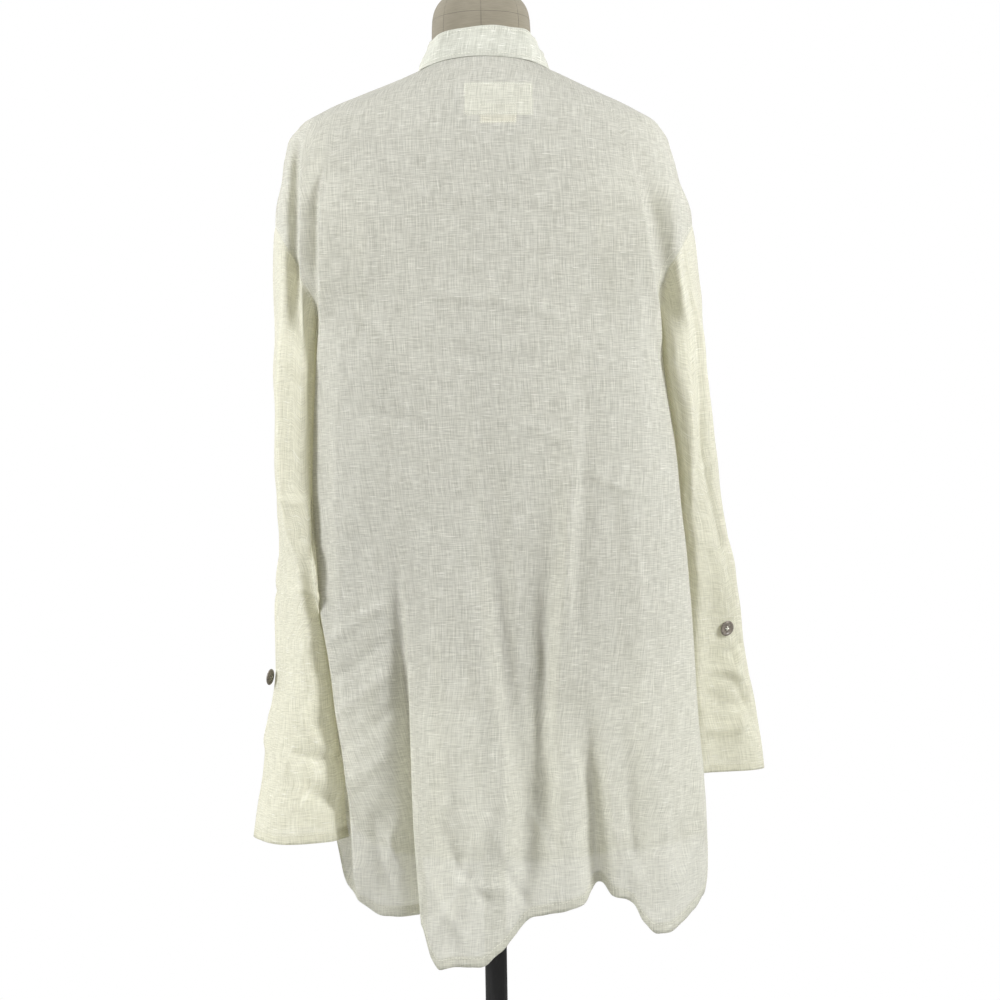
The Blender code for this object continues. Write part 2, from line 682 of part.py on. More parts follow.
def build_binding(body, material, collection):
    """A strip round the slit on the outside of the front, made from the front's own points."""
    rows = [row for row, (share, seam) in enumerate(body_rows()) if share == 1]
    apart = [row for row in rows if body.left[row, -1, 0] - body.right[row, -1, 0] > 0.2]
    first = apart[0] - 1
    rows = [first - 1, first] + apart
    points, normals = [], []
    for row in rows:
        for half, half_normals in ((body.left, body.left_normals), (body.right, body.right_normals)):
            edge, inner = half[row, -1], half[row, -2]
            across = unit(inner - edge)
            lift = half_normals[row, -1]
            raised = edge + lift * ((CLOTH + PATCH) / 2 + SEAM + FACETS)
            points += [raised + across * BINDING_EDGE, raised + across * BINDING]
            normals += [lift, lift]
    points, normals = np.array(points), np.array(normals)
    points[-4:] = points[-8:-4] + (points[-4:] - points[-8:-4]) * BINDING_TOP
    points[:4] = points[4:8] + (points[:4] - points[4:8]) * BINDING_FOOT
    faces = [(1, 0, 4, 5), (0, 2, 6, 4), (2, 3, 7, 6)]
    for row in range(1, len(rows) - 1):
        low, high = 4 * row, 4 * row + 4
        faces += [(low + 1, low, high, high + 1), (low + 2, low + 3, high + 3, high + 2)]
    faces = [tuple(reversed(face)) for face in faces]
    return cloth_wall("slit_binding", points, normals, faces, PATCH, material, collection)


def on_back(body, across, height):
    """The back's own point and normal at a place across and a height."""
    points = np.array([
        [np.interp(across, -row[:, 0], row[:, axis]) for axis in range(3)] for row in body.back
    ])
    normals = np.array([
        [np.interp(across, -row[:, 0], turned[:, axis]) for axis in range(3)]
        for row, turned in zip(body.back, body.back_normals)
    ])
    point = [np.interp(height, points[:, 2], points[:, axis]) for axis in range(3)]
    normal = [np.interp(height, points[:, 2], normals[:, axis]) for axis in range(3)]
    return np.array(point), unit(np.array(normal))


def build_label(body, label, material, collection):
    """A rectangle of ribbon on the inside of the back, made from the back's own points."""
    step = (CLOTH + PATCH) / 2 + SEAM + (label.depth - 1) * (PATCH + SEAM + FACETS)
    grid, normals = [], []
    for up in np.linspace(-0.5, 0.5, LABEL_ROWS):
        for along in np.linspace(-0.5, 0.5, LABEL_COLUMNS):
            across = label.across + along * label.wide
            point, normal = on_back(body, across, label.height + up * label.tall)
            grid.append(point - normal * step)
            normals.append(normal)
    points, normals = np.array(grid), np.array(normals)
    faces = grid_faces(LABEL_ROWS, LABEL_COLUMNS)
    return cloth_wall(label.name, points, normals, faces, PATCH, material, collection)


# ---------------------------------------------------------------- buttons
def on_sleeve(grid, normals, height, turn):
    """A sleeve's point and normal at a height and a turn round its section."""
    count = grid.shape[1]
    place = (turn / 360.0 * count) % count
    low = int(place)
    part = place - low
    line = grid[:, low] * (1 - part) + grid[:, (low + 1) % count] * part
    turned = normals[:, low] * (1 - part) + normals[:, (low + 1) % count] * part
    fall = -line[:, 2]
    point = [np.interp(-height, fall, line[:, axis]) for axis in range(3)]
    normal = [np.interp(-height, fall, turned[:, axis]) for axis in range(3)]
    return np.array(point), unit(np.array(normal))


def button_seat(grid, normals, button):
    """Where the button's back goes: clear of every point of the sleeve that it covers."""
    point, normal = on_sleeve(grid, normals, button.height, button.turn)
    swing = math.radians(button.swing)
    facing = np.array([
        normal[0] * math.cos(swing) - normal[1] * math.sin(swing),
        normal[0] * math.sin(swing) + normal[1] * math.cos(swing),
        normal[2],
    ])
    radius = BUTTON_DIAMETER / 2 + SEAM
    out = 0.0
    for height in np.linspace(-radius, radius, 7):
        for turn in np.linspace(-30, 30, 13):
            place = on_sleeve(grid, normals, button.height + height, button.turn + turn)[0]
            up = float((place - point) @ facing)
            if np.linalg.norm(place - point - facing * up) < radius:
                out = max(out, up + CLOTH / 2 + SEAM)
    return point + facing * out, facing


def build_button(name, centre, facing, material, cutters, collection):
    """A turned disc with a raised rim and four holes, its back towards the cloth."""
    made = turned_solid(name, BUTTON_PROFILE, BUTTON_STEPS, material, collection)
    cutter_mesh = bpy.data.meshes.new(name + "_holes")
    holes = bmesh.new()
    for across, along in ((1, 0), (0, 1), (-1, 0), (0, -1)):
        hole = bmesh.ops.create_cone(
            holes, cap_ends=True, segments=HOLE_STEPS, radius1=BUTTON_HOLE / 2 * MM,
            radius2=BUTTON_HOLE / 2 * MM, depth=BUTTON_DIAMETER * MM,
        )
        shift = (across * BUTTON_HOLE_RADIUS * MM, along * BUTTON_HOLE_RADIUS * MM, 0)
        bmesh.ops.translate(holes, verts=hole["verts"], vec=shift)
    holes.to_mesh(cutter_mesh)
    holes.free()
    cutter = bpy.data.objects.new(name + "_holes", cutter_mesh)
    cutter.display_type = "WIRE"
    cutter.hide_render = True
    cutters.objects.link(cutter)
    cut = made.modifiers.new("holes", "BOOLEAN")
    cut.operation = "DIFFERENCE"
    cut.solver = "EXACT"
    cut.object = cutter
    turn = Vector(facing).to_track_quat("Z", "Y")
    for thing in (made, cutter):
        thing.rotation_mode = "QUATERNION"
        thing.rotation_quaternion = turn
        thing.location = Vector(centre) * MM
    return made


# ---------------------------------------------------------------- the dress form and its stand
def form_rings(body):
    """Sections of the form, from its flat bottom up to the top of its neck."""
    shoulders = []
    for row in range(body.last_armhole + 1, body.rows):
        if body.seams[row] <= TORSO[-1].height:
            continue
        ring = np.vstack([body.back[row, :-1:2], body.right[row, :-1:2], body.left[row, :0:-2]])
        lift = np.vstack([
            body.back_normals[row, :-1:2],
            body.right_normals[row, :-1:2],
            body.left_normals[row, :0:-2],
        ])
        reach = np.abs(np.sin(np.arctan2(ring[:, 1], ring[:, 0])))
        inset = CLOTH / 2 + RESTING + LABEL_ROOM * reach**2
        shoulders.append(ring - lift * inset[:, None])
    first = shoulders[0]
    count = len(first)
    deep = max(abs(first[:, 1].min()), first[:, 1].max())
    wide = max(abs(first[:, 0].min()), first[:, 0].max())
    angle = np.arctan2(first[:, 1] / deep, first[:, 0] / wide)
    cosine, sine = np.cos(angle), np.sin(angle)
    rings = []
    for row in TORSO:
        deep = np.where(sine >= 0, row.back, row.front)
        flat = np.full(count, float(row.height))
        height = body_point(angle, flat)[0][:, 2] if row.height > UNDERARM else flat
        x, y = row.wide * power(cosine, FORM_SQUARE), deep * power(sine, FORM_SQUARE)
        rings.append(np.stack([x, y, height], axis=1))
    rings += shoulders
    for row in NECK:
        deep = np.where(sine >= 0, row.back, row.front)
        flat = np.full(count, float(row.height))
        rings.append(np.stack([row.wide * cosine, deep * sine, flat], axis=1))
    return np.array(rings)


def build_form(body, material, collection):
    rings = form_rings(body)
    rows, columns = rings.shape[:2]
    faces = grid_faces(rows, columns, closed=True)
    points = rings.reshape(-1, 3)
    faces.append(tuple(range(columns - 1, -1, -1)))
    faces.append(tuple(range((rows - 1) * columns, rows * columns)))
    return add_mesh("form_torso", points * MM, faces, material, collection)


def build_stand(material, collection):
    radius, base, boss = POLE_DIAMETER / 2, BASE_DIAMETER / 2, BOSS_DIAMETER / 2
    boss_top = BASE_THICKNESS + BOSS_HEIGHT
    pole_top, pole_foot = TORSO_BOTTOM - SEAM, boss_top + SEAM
    pole = (
        Turned(0.0, pole_top), Turned(radius, pole_top),
        Turned(radius, pole_foot), Turned(0.0, pole_foot),
    )
    turned_solid("pole", pole, POLE_STEPS, material, collection)
    disc = (
        Turned(0.0, boss_top), Turned(boss - BOSS_CHAMFER, boss_top),
        Turned(boss, boss_top - BOSS_CHAMFER), Turned(boss, BASE_THICKNESS),
        Turned(base - BASE_CHAMFER, BASE_THICKNESS), Turned(base, BASE_THICKNESS - BASE_CHAMFER),
        Turned(base, 0.0), Turned(0.0, 0.0),
    )
    turned_solid("stand_base", disc, BASE_STEPS, material, collection)


# ---------------------------------------------------------------- assembly
def main():
    clear_scene()
    parts = new_collection("tunic_top_on_dress_form")
    cutters = new_collection("cutters")
    cutters.hide_render = True
    linen = principled("linen", LINEN)
    ribbon = principled("label_cloth", LABEL_CLOTH)
    canvas = principled("canvas", CANVAS)
    horn = principled("horn", HORN)
    metal = principled("black_metal", BLACK_METAL)

    body = Body()
    build_back(body, linen, parts)
    build_front(body, linen, parts)
    sleeves = {}
    for name, sections, left_side in (
        ("sleeve_left", LEFT_SLEEVE, True),
        ("sleeve_right", RIGHT_SLEEVE, False),
    ):
        sleeves[name] = build_sleeve(name, body, sections, left_side, linen, parts)
    for button in BUTTONS:
        centre, facing = button_seat(*sleeves[button.sleeve], button)
        build_button(button.name, centre, facing, horn, cutters, parts)
    build_collar(body, linen, parts)
    build_binding(body, linen, parts)
    for label in LABELS:
        build_label(body, label, ribbon, parts)
    build_form(body, canvas, parts)
    build_stand(metal, parts)


main()
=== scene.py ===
"""Looks of the tunic top on its dress form: the cloth, its hems, seams and stitches, the form,
the buttons, the labels and the stand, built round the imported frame.

Lengths are in millimetres until a mesh is made. +Z is up, the garment's front faces -Y and its
left side is at +X. Across means the distance to the garment's right, which is -X.
"""

import math
from collections import namedtuple

import bmesh
import bpy
import numpy as np
from mathutils import Matrix, Vector
from mathutils.bvhtree import BVHTree


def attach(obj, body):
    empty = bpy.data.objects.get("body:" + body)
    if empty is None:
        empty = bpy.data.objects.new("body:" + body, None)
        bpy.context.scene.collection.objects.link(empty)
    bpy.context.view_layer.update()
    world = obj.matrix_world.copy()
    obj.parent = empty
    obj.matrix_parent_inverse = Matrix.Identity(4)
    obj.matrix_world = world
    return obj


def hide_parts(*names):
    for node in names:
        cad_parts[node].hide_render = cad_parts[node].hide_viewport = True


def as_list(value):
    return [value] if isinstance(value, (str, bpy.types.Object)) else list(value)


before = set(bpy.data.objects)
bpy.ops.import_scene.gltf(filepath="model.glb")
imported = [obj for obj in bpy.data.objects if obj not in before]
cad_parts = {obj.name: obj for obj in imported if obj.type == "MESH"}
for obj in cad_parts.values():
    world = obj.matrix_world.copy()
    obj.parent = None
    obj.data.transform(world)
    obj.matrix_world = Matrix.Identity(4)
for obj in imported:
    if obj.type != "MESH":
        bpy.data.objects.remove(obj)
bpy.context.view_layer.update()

MM = 0.001
SEED = 7

# ------------------------------------------------------------------ camera, lights and stage
IMAGE = 1000                  # pixels on each side of the picture
CAMERA_DISTANCE = 2.04        # in metres, as are all lengths of the stage
CAMERA_HEIGHT = 0.90
AXIS_PIXEL = 488.7            # where the form's axis crosses the middle row of the picture
CAMERA_ROLL = math.radians(0.917)
SENSOR = 36.0
FLOOR_RADIUS = 1.4
WORLD_LOW = 0.05              # the world's light from below
WORLD_HIGH = 0.78             # and from above
WORLD_FRONT = 0.55            # share of it that comes from the garment's front side
# name, place, what it points at, diameter, power in watts and spread in degrees
LIGHTS = (
    ("key", (-1.8, 1.05, 1.75), (0, 0.05, 1.0), 0.8, 15.5, 95),
    ("fill", (1.95, 0.9, 1.75), (0, 0.05, 1.0), 0.8, 15, 95),
    ("left_rim", (1.6, -1.2, 1.7), (0.18, 0, 1.0), 0.9, 10, 140),
    ("front", (-1.7, -1.7, 1.9), (0, 0, 1.0), 1.1, 6.5, 120),
)

# ------------------------------------------------------------------ the tunic's driving sizes
def table_of(kind, *table):
    """A table with named columns, from its plain rows."""
    return tuple(kind(*row) for row in table)


# A seam height is the height that a level of the body has at its left seam.
UNDERARM = 1063.0
DROP_END = 1175.0             # the end of the dropped shoulder
NECKLINE = 1325.0
ARMHOLE_REACH = 0.46          # radians that an armhole takes from a panel at its middle
SLIT_SEAM = 1141.0            # seam height of the neck slit's lower end
SLIT_OPEN = 21.0              # half its width at the top
SAG = 1.6                     # how late a level leaves its side height for its middle one
HEM_MIDDLE = 530.0            # seam height at which a place on the hem is looked up
LAYER = 0.5                   # distance between two layers of cloth that are sewn together
HEM_FOLD = 10.0               # height of the turned-up hem
HEM_REACH = 14                # lines of points from an edge, within which its seams lie
ALLOWANCE = 8.0               # width of a felled seam

# Rows and columns of points on a panel. Within a share of its width from each edge, the
# columns move with what is cut from that edge.
SKIRT_ROWS = 150
ARMHOLE_ROWS = 72
SHOULDER_ROWS = 56
BACK_COLUMNS = 300
HALF_FRONT_COLUMNS = 130
BACK_EDGE = 0.22
FRONT_EDGE = 0.45
DENSE = 1100                  # places along a level, from which its columns are spaced

# A level of the body: its heights at the left and right seams and at the centre back and
# front, its half widths and depths, and the exponent of its rounded outline.
Level = namedtuple(
    "Level", "seam right back front wide_left wide_right deep_back deep_front square"
)
BODY = table_of(Level,
    (430, 430, 430, 430, 150, 212, 138, 132, 2.7), (560, 560, 560, 560, 157, 210, 135, 130, 2.8),
    (700, 700, 700, 700, 166, 201, 131, 128, 3.0), (820, 820, 820, 820, 168, 192, 127, 126, 3.1),
    (920, 920, 920, 920, 169, 184, 124, 124, 3.1),
    (1018, 1016, 1018, 1018, 168, 174, 121, 122, 3.0),
    (1063, 1060, 1063, 1060, 168, 171, 119, 120, 2.8),
    (1120, 1115, 1118, 1112, 192, 192, 116, 114, 2.5),
    (1175, 1169, 1171, 1160, 208, 207, 113, 108, 2.35),
    (1220, 1214, 1213, 1192, 201, 195, 110, 104, 2.3),
    (1250, 1245, 1242, 1214, 196, 187, 106, 100, 2.25),
    (1272, 1267, 1264, 1230, 184, 177, 101, 96, 2.2),
    (1285, 1281, 1282, 1241, 163, 158, 95, 92, 2.2),
    (1300, 1297, 1300, 1251, 128, 126, 87, 87, 2.1), (1312, 1311, 1315, 1258, 94, 97, 77, 83, 2.1),
    (1325, 1325, 1330, 1264, 62, 67, 64, 79, 2.1),
)

Hem = namedtuple("Hem", "across height")
HEM_BACK = table_of(Hem,
    (-152, 588), (-142, 552), (-128, 529), (-98, 510), (-58, 509), (-49, 478), (-40, 468),
    (-15, 468), (6, 477), (18, 490), (42, 511), (84, 519), (94, 531), (104, 538), (112, 526),
    (130, 519), (138, 501), (151, 490), (168, 494), (186, 502), (199, 514), (207, 530), (210, 556),
)
HEM_FRONT = table_of(Hem,
    (-152, 588), (-140, 560), (-118, 538), (-60, 521), (0, 516), (70, 518), (140, 528), (185, 540),
    (210, 556),
)

# A fold runs from its top to its foot, with its profile's reach to the left and the right. It is
# full after rise and dies out below the height fades, and lean shifts it to the right.
Fold = namedtuple(
    "Fold", "top_across top foot_across foot height left right rise fades lean", defaults=(0, 0)
)
BACK_FOLDS = table_of(Fold,
    (-82, 870, -53, 470, 27, 6, 60, 300, 0, -9),  # the deep pleat's leading edge
    (-88, 870, -72, 470, -19, 8, 13, 290),  # the valley that it covers
    (-105, 1060, -93, 840, -5, 15, 13, 90), (-130, 800, -132, 500, 8, 14, 20, 200),
    (-17, 1080, 12, 760, -7, 13, 18, 180), (-28, 880, 2, 700, 7, 14, 16, 120),
    (97, 1080, 72, 690, 8, 14, 62, 260, 600),  # the broad light flank at the right
    (93, 1110, 56, 690, 11, 18, 8, 260, 730),  # the long light ridge on it
    (66, 940, 42, 660, -8, 14, 10, 240, 600),  # the hollow on its left
    (53, 850, 50, 650, -11, 10, 10, 160, 640), (84, 740, 102, 530, -23, 16, 10, 150),
    (150, 800, 152, 500, 12, 26, 24, 240), (28, 700, 24, 500, -8, 14, 16, 180),
    (-36, 720, -30, 480, -6, 12, 12, 150), (128, 720, 128, 500, -7, 9, 12, 140),
)
FRONT_FOLDS = table_of(Fold,
    (-70, 1080, -84, 520, 13.5, 16, 20, 400), (-45, 1000, -50, 520, -10.5, 14, 14, 380),
    (10, 1060, 4, 520, 10.5, 18, 22, 420), (48, 1000, 62, 520, -12, 16, 15, 360),
    (96, 1080, 118, 520, 16.5, 18, 22, 420), (-128, 1000, -122, 520, -10.5, 12, 14, 330),
    (150, 950, 164, 520, -10.5, 12, 14, 300),
)
FOLD_FADES = 110              # height over which a fold dies out
LOW_RUMPLES = 760             # height from which down the skirt is rumpled more
SIDE_FADE = 0.30              # sine of the angle from a side seam at which folds are full

# A crease runs from one place (across, height) to another, and dies out at both ends. It
# stands out by depth, or sinks where that is negative. sharp is its profile's exponent: 2 is a
# round fold and 1 a creased one.
Crease = namedtuple("Crease", "x0 z0 x1 z1 depth width bow sharp", defaults=(2,))
BACK_CREASES = table_of(Crease,
    # soft lines across the upper back
    (-60, 1190, -8, 1190, 1.1, 5, 4), (-6, 1190, 78, 1173, 0.8, 5, -4),
    (-4, 1180, 74, 1162, -0.5, 7, -4), (-56, 1100, 20, 1092, 1.2, 6, 5),
    (6, 1086, 84, 1064, 0.8, 5, -4), (4, 1075, 78, 1054, -0.4, 7, -4),
    (-56, 1043, 44, 1030, -1.1, 6, 3), (90, 928, 150, 902, 1.9, 5, 3),
    (-120, 985, -60, 968, -1.2, 6, -4), (20, 985, 82, 952, 1.1, 6, 4),
    (-130, 1088, -96, 1060, 1.2, 6, 3), (30, 1130, 96, 1118, -0.9, 6, -3),
    # drag lines behind the left sleeve
    (-96, 806, -150, 766, 2.3, 6, 3), (-94, 772, -146, 728, -2.2, 6, 3),
    (-92, 742, -142, 694, 2.4, 6, 4), (-92, 706, -134, 664, -2, 6, 3),
    (-96, 664, -132, 628, 2.3, 6, 3, 1.8),
    # crossed rumples above the middle of the hem
    (-44, 604, 2, 520, -4.3, 6, 4, 1.4), (-4, 610, -44, 500, 4.1, 6, -4, 1.6),
    (10, 562, 34, 520, -3.5, 5, 3, 1.5), (-30, 548, 22, 536, 2.7, 5, 3, 1.6),
    (30, 614, 62, 548, 3.5, 5, -4, 1.5), (56, 604, 62, 545, -3, 4, 2, 1.5),
    (-97, 590, -82, 546, 4.3, 3.5, 2, 1.4), (-112, 606, -96, 534, -3.5, 6, 4, 1.6),
    (-72, 640, -100, 560, 3, 7, 3, 1.6), (72, 660, 92, 590, 3, 6, -3, 1.6),
    (-2, 640, 14, 560, 3, 5, 3, 1.6), (-52, 560, -20, 492, 3, 5, 3, 1.5),
    (196, 640, 160, 520, 4.1, 7, -12, 1.7), (178, 600, 146, 512, -3.2, 7, -8, 1.7),
    (120, 596, 138, 528, 3.2, 6, 3, 1.6),
    # fine upright creases
    (-140, 1000, -136, 720, 2.7, 7, 5), (-118, 900, -112, 640, -2.4, 8, -5),
    (24, 960, 36, 640, 2.4, 8, 6), (-42, 820, -30, 600, -2.7, 7, 5), (74, 900, 78, 720, 2.2, 6, 4),
    (118, 940, 126, 620, -1.6, 9, 6), (132, 900, 140, 600, 2.7, 8, -5),
    (106, 660, 118, 560, 3, 7, 4, 1.6), (8, 700, -4, 600, -3, 7, 4, 1.8),
    (40, 760, 52, 640, 2.7, 6, -3, 1.8), (104, 1180, 118, 1060, -2.4, 9, 4),
    (-112, 1170, -122, 1040, -2.4, 9, -4), (-60, 880, -48, 700, 2.4, 8, 4),
    (-70, 1010, -60, 860, -2.2, 8, 4),
)
FRONT_CREASES = table_of(Crease,
    (-60, 1150, 20, 1128, -2.5, 6, 4), (10, 1090, 90, 1064, 2.5, 6, -4),
    (-96, 1040, -20, 1010, -2.4, 7, 4), (40, 1000, 104, 966, 2.5, 6, -4),
    (-24, 1120, -52, 980, 2.9, 8, 5), (22, 1120, 48, 960, -2.9, 8, -5),
    (-110, 900, -96, 640, 3.1, 8, 5), (-24, 900, -20, 620, -3.1, 8, -5),
    (30, 860, 34, 600, 3.1, 7, 5), (86, 880, 92, 620, -3.1, 8, 4),
    (136, 900, 146, 640, 3.4, 8, -5), (-80, 640, -40, 560, -3.8, 6, 4, 1.6),
    (-36, 620, -70, 552, 3.4, 6, -3, 1.6), (20, 640, 56, 560, 3.4, 6, 4, 1.6),
    (70, 620, 36, 556, -3.4, 6, -3, 1.6), (110, 640, 136, 566, 3.4, 6, 3, 1.6),
)

# A line where the cloth doubles over: its path goes by (across, height) from top to foot, and
# side tells which of its flanks is steep. rise is the height of its edge, sink the depth of the
# hollow beyond the steep flank, and lean how far the edge hangs over that hollow.
Edge = namedtuple("Edge", "path side rise steep slope sink reach lean begin end")
BACK_EDGES = table_of(Edge,
    (((-170, 1275), (-173, 1210), (-174, 1162), (-175, 1114), (-176, 1040)), -1, 13, 2, 16, 19,
     14, 4, 50, 110),
    (((-150, 1235), (-152, 1160), (-154, 1094), (-161, 998), (-165, 880), (-165, 800)), -1, 9, 3,
     38, 3, 15, 5, 60, 60),
    (((-165, 860), (-163, 830), (-156, 790), (-149, 757), (-142, 705), (-133, 647), (-128, 593),
     (-126, 500)), -1, 11, 3, 38, 13, 16, 6, 60, 60),
    (((141, 1235), (146, 1185), (158, 1112), (163, 1071), (166, 1030)), 1, 10, 2.5, 40, 12, 21, 4,
     60, 60),
    (((158, 1112), (163, 1071), (169, 1011), (179, 937), (181, 897), (188, 840), (191, 781), (193,
     679), (195, 642), (201, 500)), 1, 8, 3, 40, -10, 24, 4, 60, 60),
    (((-177, 1075), (-177, 1000), (-176, 920), (-171, 850), (-165, 800), (-158, 745), (-150, 690),
     (-144, 655), (-139, 600)), 1, 8, 2.5, 14, -6, 12, 3, 50, 40),
    (((176, 1235), (185, 1188), (188, 1123), (191, 1095), (196, 1058), (199, 984), (199, 870)), 1,
     6, 4, 9, 3, 10, 1, 50, 70),
)
FRONT_EDGES = table_of(Edge,
    (((-158, 1240), (-162, 1160), (-166, 1094), (-168, 1000), (-170, 900)), -1, 4, 9, 26, 4, 16,
     0.5, 60, 90),
    (((150, 1225), (157, 1150), (163, 1080), (170, 990), (178, 880)), 1, 4, 9, 28, 4, 17, 0.5, 60,
     90),
)
EDGE_FACES = 30.0             # how far from the side seam a fold edge is fully grown

# A sleeve's section: its middle, its half width and depth, and how far it is turned, in degrees.
Section = namedtuple("Section", "height x y wide deep turn")
LEFT_SLEEVE = table_of(Section,
    (1030, 191, 4, 21.5, 72, 7), (960, 191, 8, 21.5, 70, 6), (890, 189, 14, 21, 66, 8),
    (820, 185, 26, 19, 58, 20), (750, 185, 44, 19, 52, 24), (690, 186, 60, 26, 50, 24),
    (640, 184, 74, 33, 48, 26), (606, 185, 82, 37, 47, 26), (581, 185, 87, 41, 46, 26),
)
RIGHT_SLEEVE = table_of(Section,
    (1028, -197.5, -4, 22.5, 70, 8), (960, -205, -16, 23.5, 66, 8), (890, -213, -40, 26.5, 61, 4),
    (820, -219, -66, 33, 55, -5), (760, -222, -88, 39, 47, -8), (700, -229, -104, 42, 46, -10),
    (650, -235, -116, 44, 45, -12), (614, -239, -124, 45, 45, -15),
)
SLACK = 11.0                  # how far a sleeve's inner wall sags towards the body
SLACK_TURN = 212              # the middle of that wall, and its reach, in degrees
SLACK_WIDE = 36
SLACK_TOP = UNDERARM + 7      # heights at which the sag starts and has died out
SLACK_FOOT = 770
CLEAR_TOP = UNDERARM + 8      # height from which down a sleeve is kept clear of the body
CLEAR_REACH = 40.0            # how deep inside a surface a point can be and still be moved out
BODY_GAP = 1.6                # between a sleeve and the body
FORM_GAP = 1.4                # between the cloth and the form
SLEEVE_SQUARE = 3.0           # exponent of a sleeve's rounded outline
SLEEVE_LEAVES = 22.0          # pull of a sleeve's curves away from the armhole,
SLEEVE_FALLS = 60.0           # and down into its first section
SLEEVE_CAP_ROWS = 46
SLEEVE_ROWS = 150
CAP_SMOOTH_ROWS = 26          # rows from the armhole over which the creases grow
TURN_WIDE = 0.75              # millimetres of cloth taken for a degree round a sleeve
SLEEVE_ROUND = 60             # radius of the round on which a sleeve's rumples are laid

# Sleeve creases go by (turn in degrees, height); turn 0 is the outer edge and 90 the back.
LEFT_CREASES = table_of(Crease,
    (60, 1090, 76, 700, 5.3, 12, 6), (118, 1080, 112, 760, -5.3, 12, -5),
    (20, 1120, 34, 860, -3.5, 12, 5), (66, 705, 108, 660, 3.9, 7, 4, 1.6),
    (74, 640, 120, 612, -3.5, 6, 4, 1.5), (40, 820, 66, 730, 2.8, 9, 6),
    (30, 640, 70, 680, 2.8, 7, -4, 1.6), (100, 900, 88, 780, 3.1, 9, 5),
    (200, 980, 196, 640, 4.2, 14, 6), (250, 1060, 262, 700, -4.2, 14, -5),
    (300, 1090, 292, 760, 4.2, 13, 5), (330, 900, 320, 640, -3.1, 11, 5),
    (150, 800, 160, 620, -3.5, 12, 5), (230, 720, 270, 650, 3.1, 9, 4, 1.7),
    (25, 912, 95, 900, 2.4, 4, 3, 1.6), (35, 815, 120, 806, 2.2, 4, -3, 1.6),
    (30, 668, 130, 660, -2.4, 4, 4, 1.5), (60, 606, 95, 650, 3.2, 4, 2, 1.4),
    (48, 596, 84, 640, -2.6, 4, 2, 1.4), (100, 600, 128, 640, 2.4, 4, 2, 1.4),
    (70, 760, 110, 730, -2.4, 5, 3, 1.6), (310, 700, 350, 662, 2.6, 5, 3, 1.5),
    (230, 610, 260, 650, 2.4, 4, 2, 1.4), (280, 820, 330, 806, -2, 5, 3, 1.6),
)
RIGHT_CREASES = table_of(Crease,
    (48, 1100, 40, 930, 5.3, 11, 5), (72, 1060, 60, 800, -5.3, 13, -5),
    (96, 1060, 92, 860, 3.5, 11, 5), (20, 1000, 26, 700, -2.8, 12, 5),
    (60, 745, 96, 700, 3.9, 8, 4, 1.6), (92, 720, 58, 668, -3.5, 7, 4, 1.6),
    (50, 690, 84, 650, 3.1, 7, -4, 1.6), (110, 900, 118, 660, 3.5, 12, 5),
    (200, 980, 196, 660, 4.2, 14, 6), (250, 1060, 262, 700, -4.2, 14, -5),
    (300, 1090, 292, 760, 4.2, 13, 5), (330, 900, 320, 660, -3.1, 11, 5),
    (160, 820, 152, 640, -3.5, 12, 5), (230, 740, 270, 670, 3.1, 9, 4, 1.7),
    (52, 752, 84, 738, -3, 6, 3, 1.8), (58, 712, 100, 722, 3.4, 7, -3, 1.8),
    (50, 692, 92, 684, -3.4, 7, 4, 1.8), (72, 668, 110, 658, 3, 6, 3, 1.8),
    (96, 745, 118, 690, -2.4, 7, 4), (36, 940, 80, 926, 2, 5, 3, 1.6),
    (40, 850, 92, 842, -1.8, 5, -3, 1.6), (310, 740, 350, 700, 2.6, 5, 3, 1.5),
    (230, 650, 262, 690, 2.4, 5, 2, 1.4), (280, 850, 330, 836, -2, 5, 3, 1.6),
)

# A place on the collar's upper edge. Angle 0 is at the wearer's left and 90 at the centre back.
CollarTop = namedtuple("CollarTop", "angle x y z")
COLLAR = table_of(CollarTop,
    (-75, 25, -68, 1290), (-60, 36, -57, 1300), (-30, 49, -31, 1328), (0, 53, -2, 1349),
    (30, 47, 30, 1355), (60, 26, 50, 1359), (90, -6, 57, 1361), (120, -34, 47, 1361),
    (150, -51, 25, 1358), (180, -57, -5, 1353), (200, -64, -26, 1346), (225, -62, -54, 1327),
    (243, -44, -76, 1303), (255, -31, -84, 1291),
)
COLLAR_ROLL = 3.0             # how far the collar bulges, up to a share of its height
ROLL_ENDS = 0.71
COLLAR_ROWS = 22
COLLAR_HEIGHT = 32
COLLAR_THICK = 1.0            # between the collar's two layers
BINDING = 12.0                # width of the slit's binding
SLIT_STARTS = 0.15            # how far the slit's edges are apart where its binding starts
# how far each line of the binding lies from the slit's edge, and how high over the cloth
BINDING_PROFILE = (
    (0.2, -0.4), (-0.15, 0.1), (0.2, 0.7), (2.5, 0.8), (6, 0.85), (9, 0.85),
    (BINDING - 0.3, 0.75), (BINDING, 0.3),
)
HEM_STITCH = HEM_FOLD - 1.5   # height of a hem's stitches over its edge
FELL_STITCH = 6.6             # distance of a felled seam's outer stitches from the seam
# how far each line of points of a felled seam's inner layer is from the seam, and how far inside
FELL_LINES = (0.0, 0.5, 2.5, 5.0, ALLOWANCE - 0.3, ALLOWANCE)
FELL_INSIDE = np.array([0.1, 0.5, 0.55, 0.55, 0.5, 0.1])[:, None, None]
SEAM_START = 2                # the first row of a side seam that is sewn
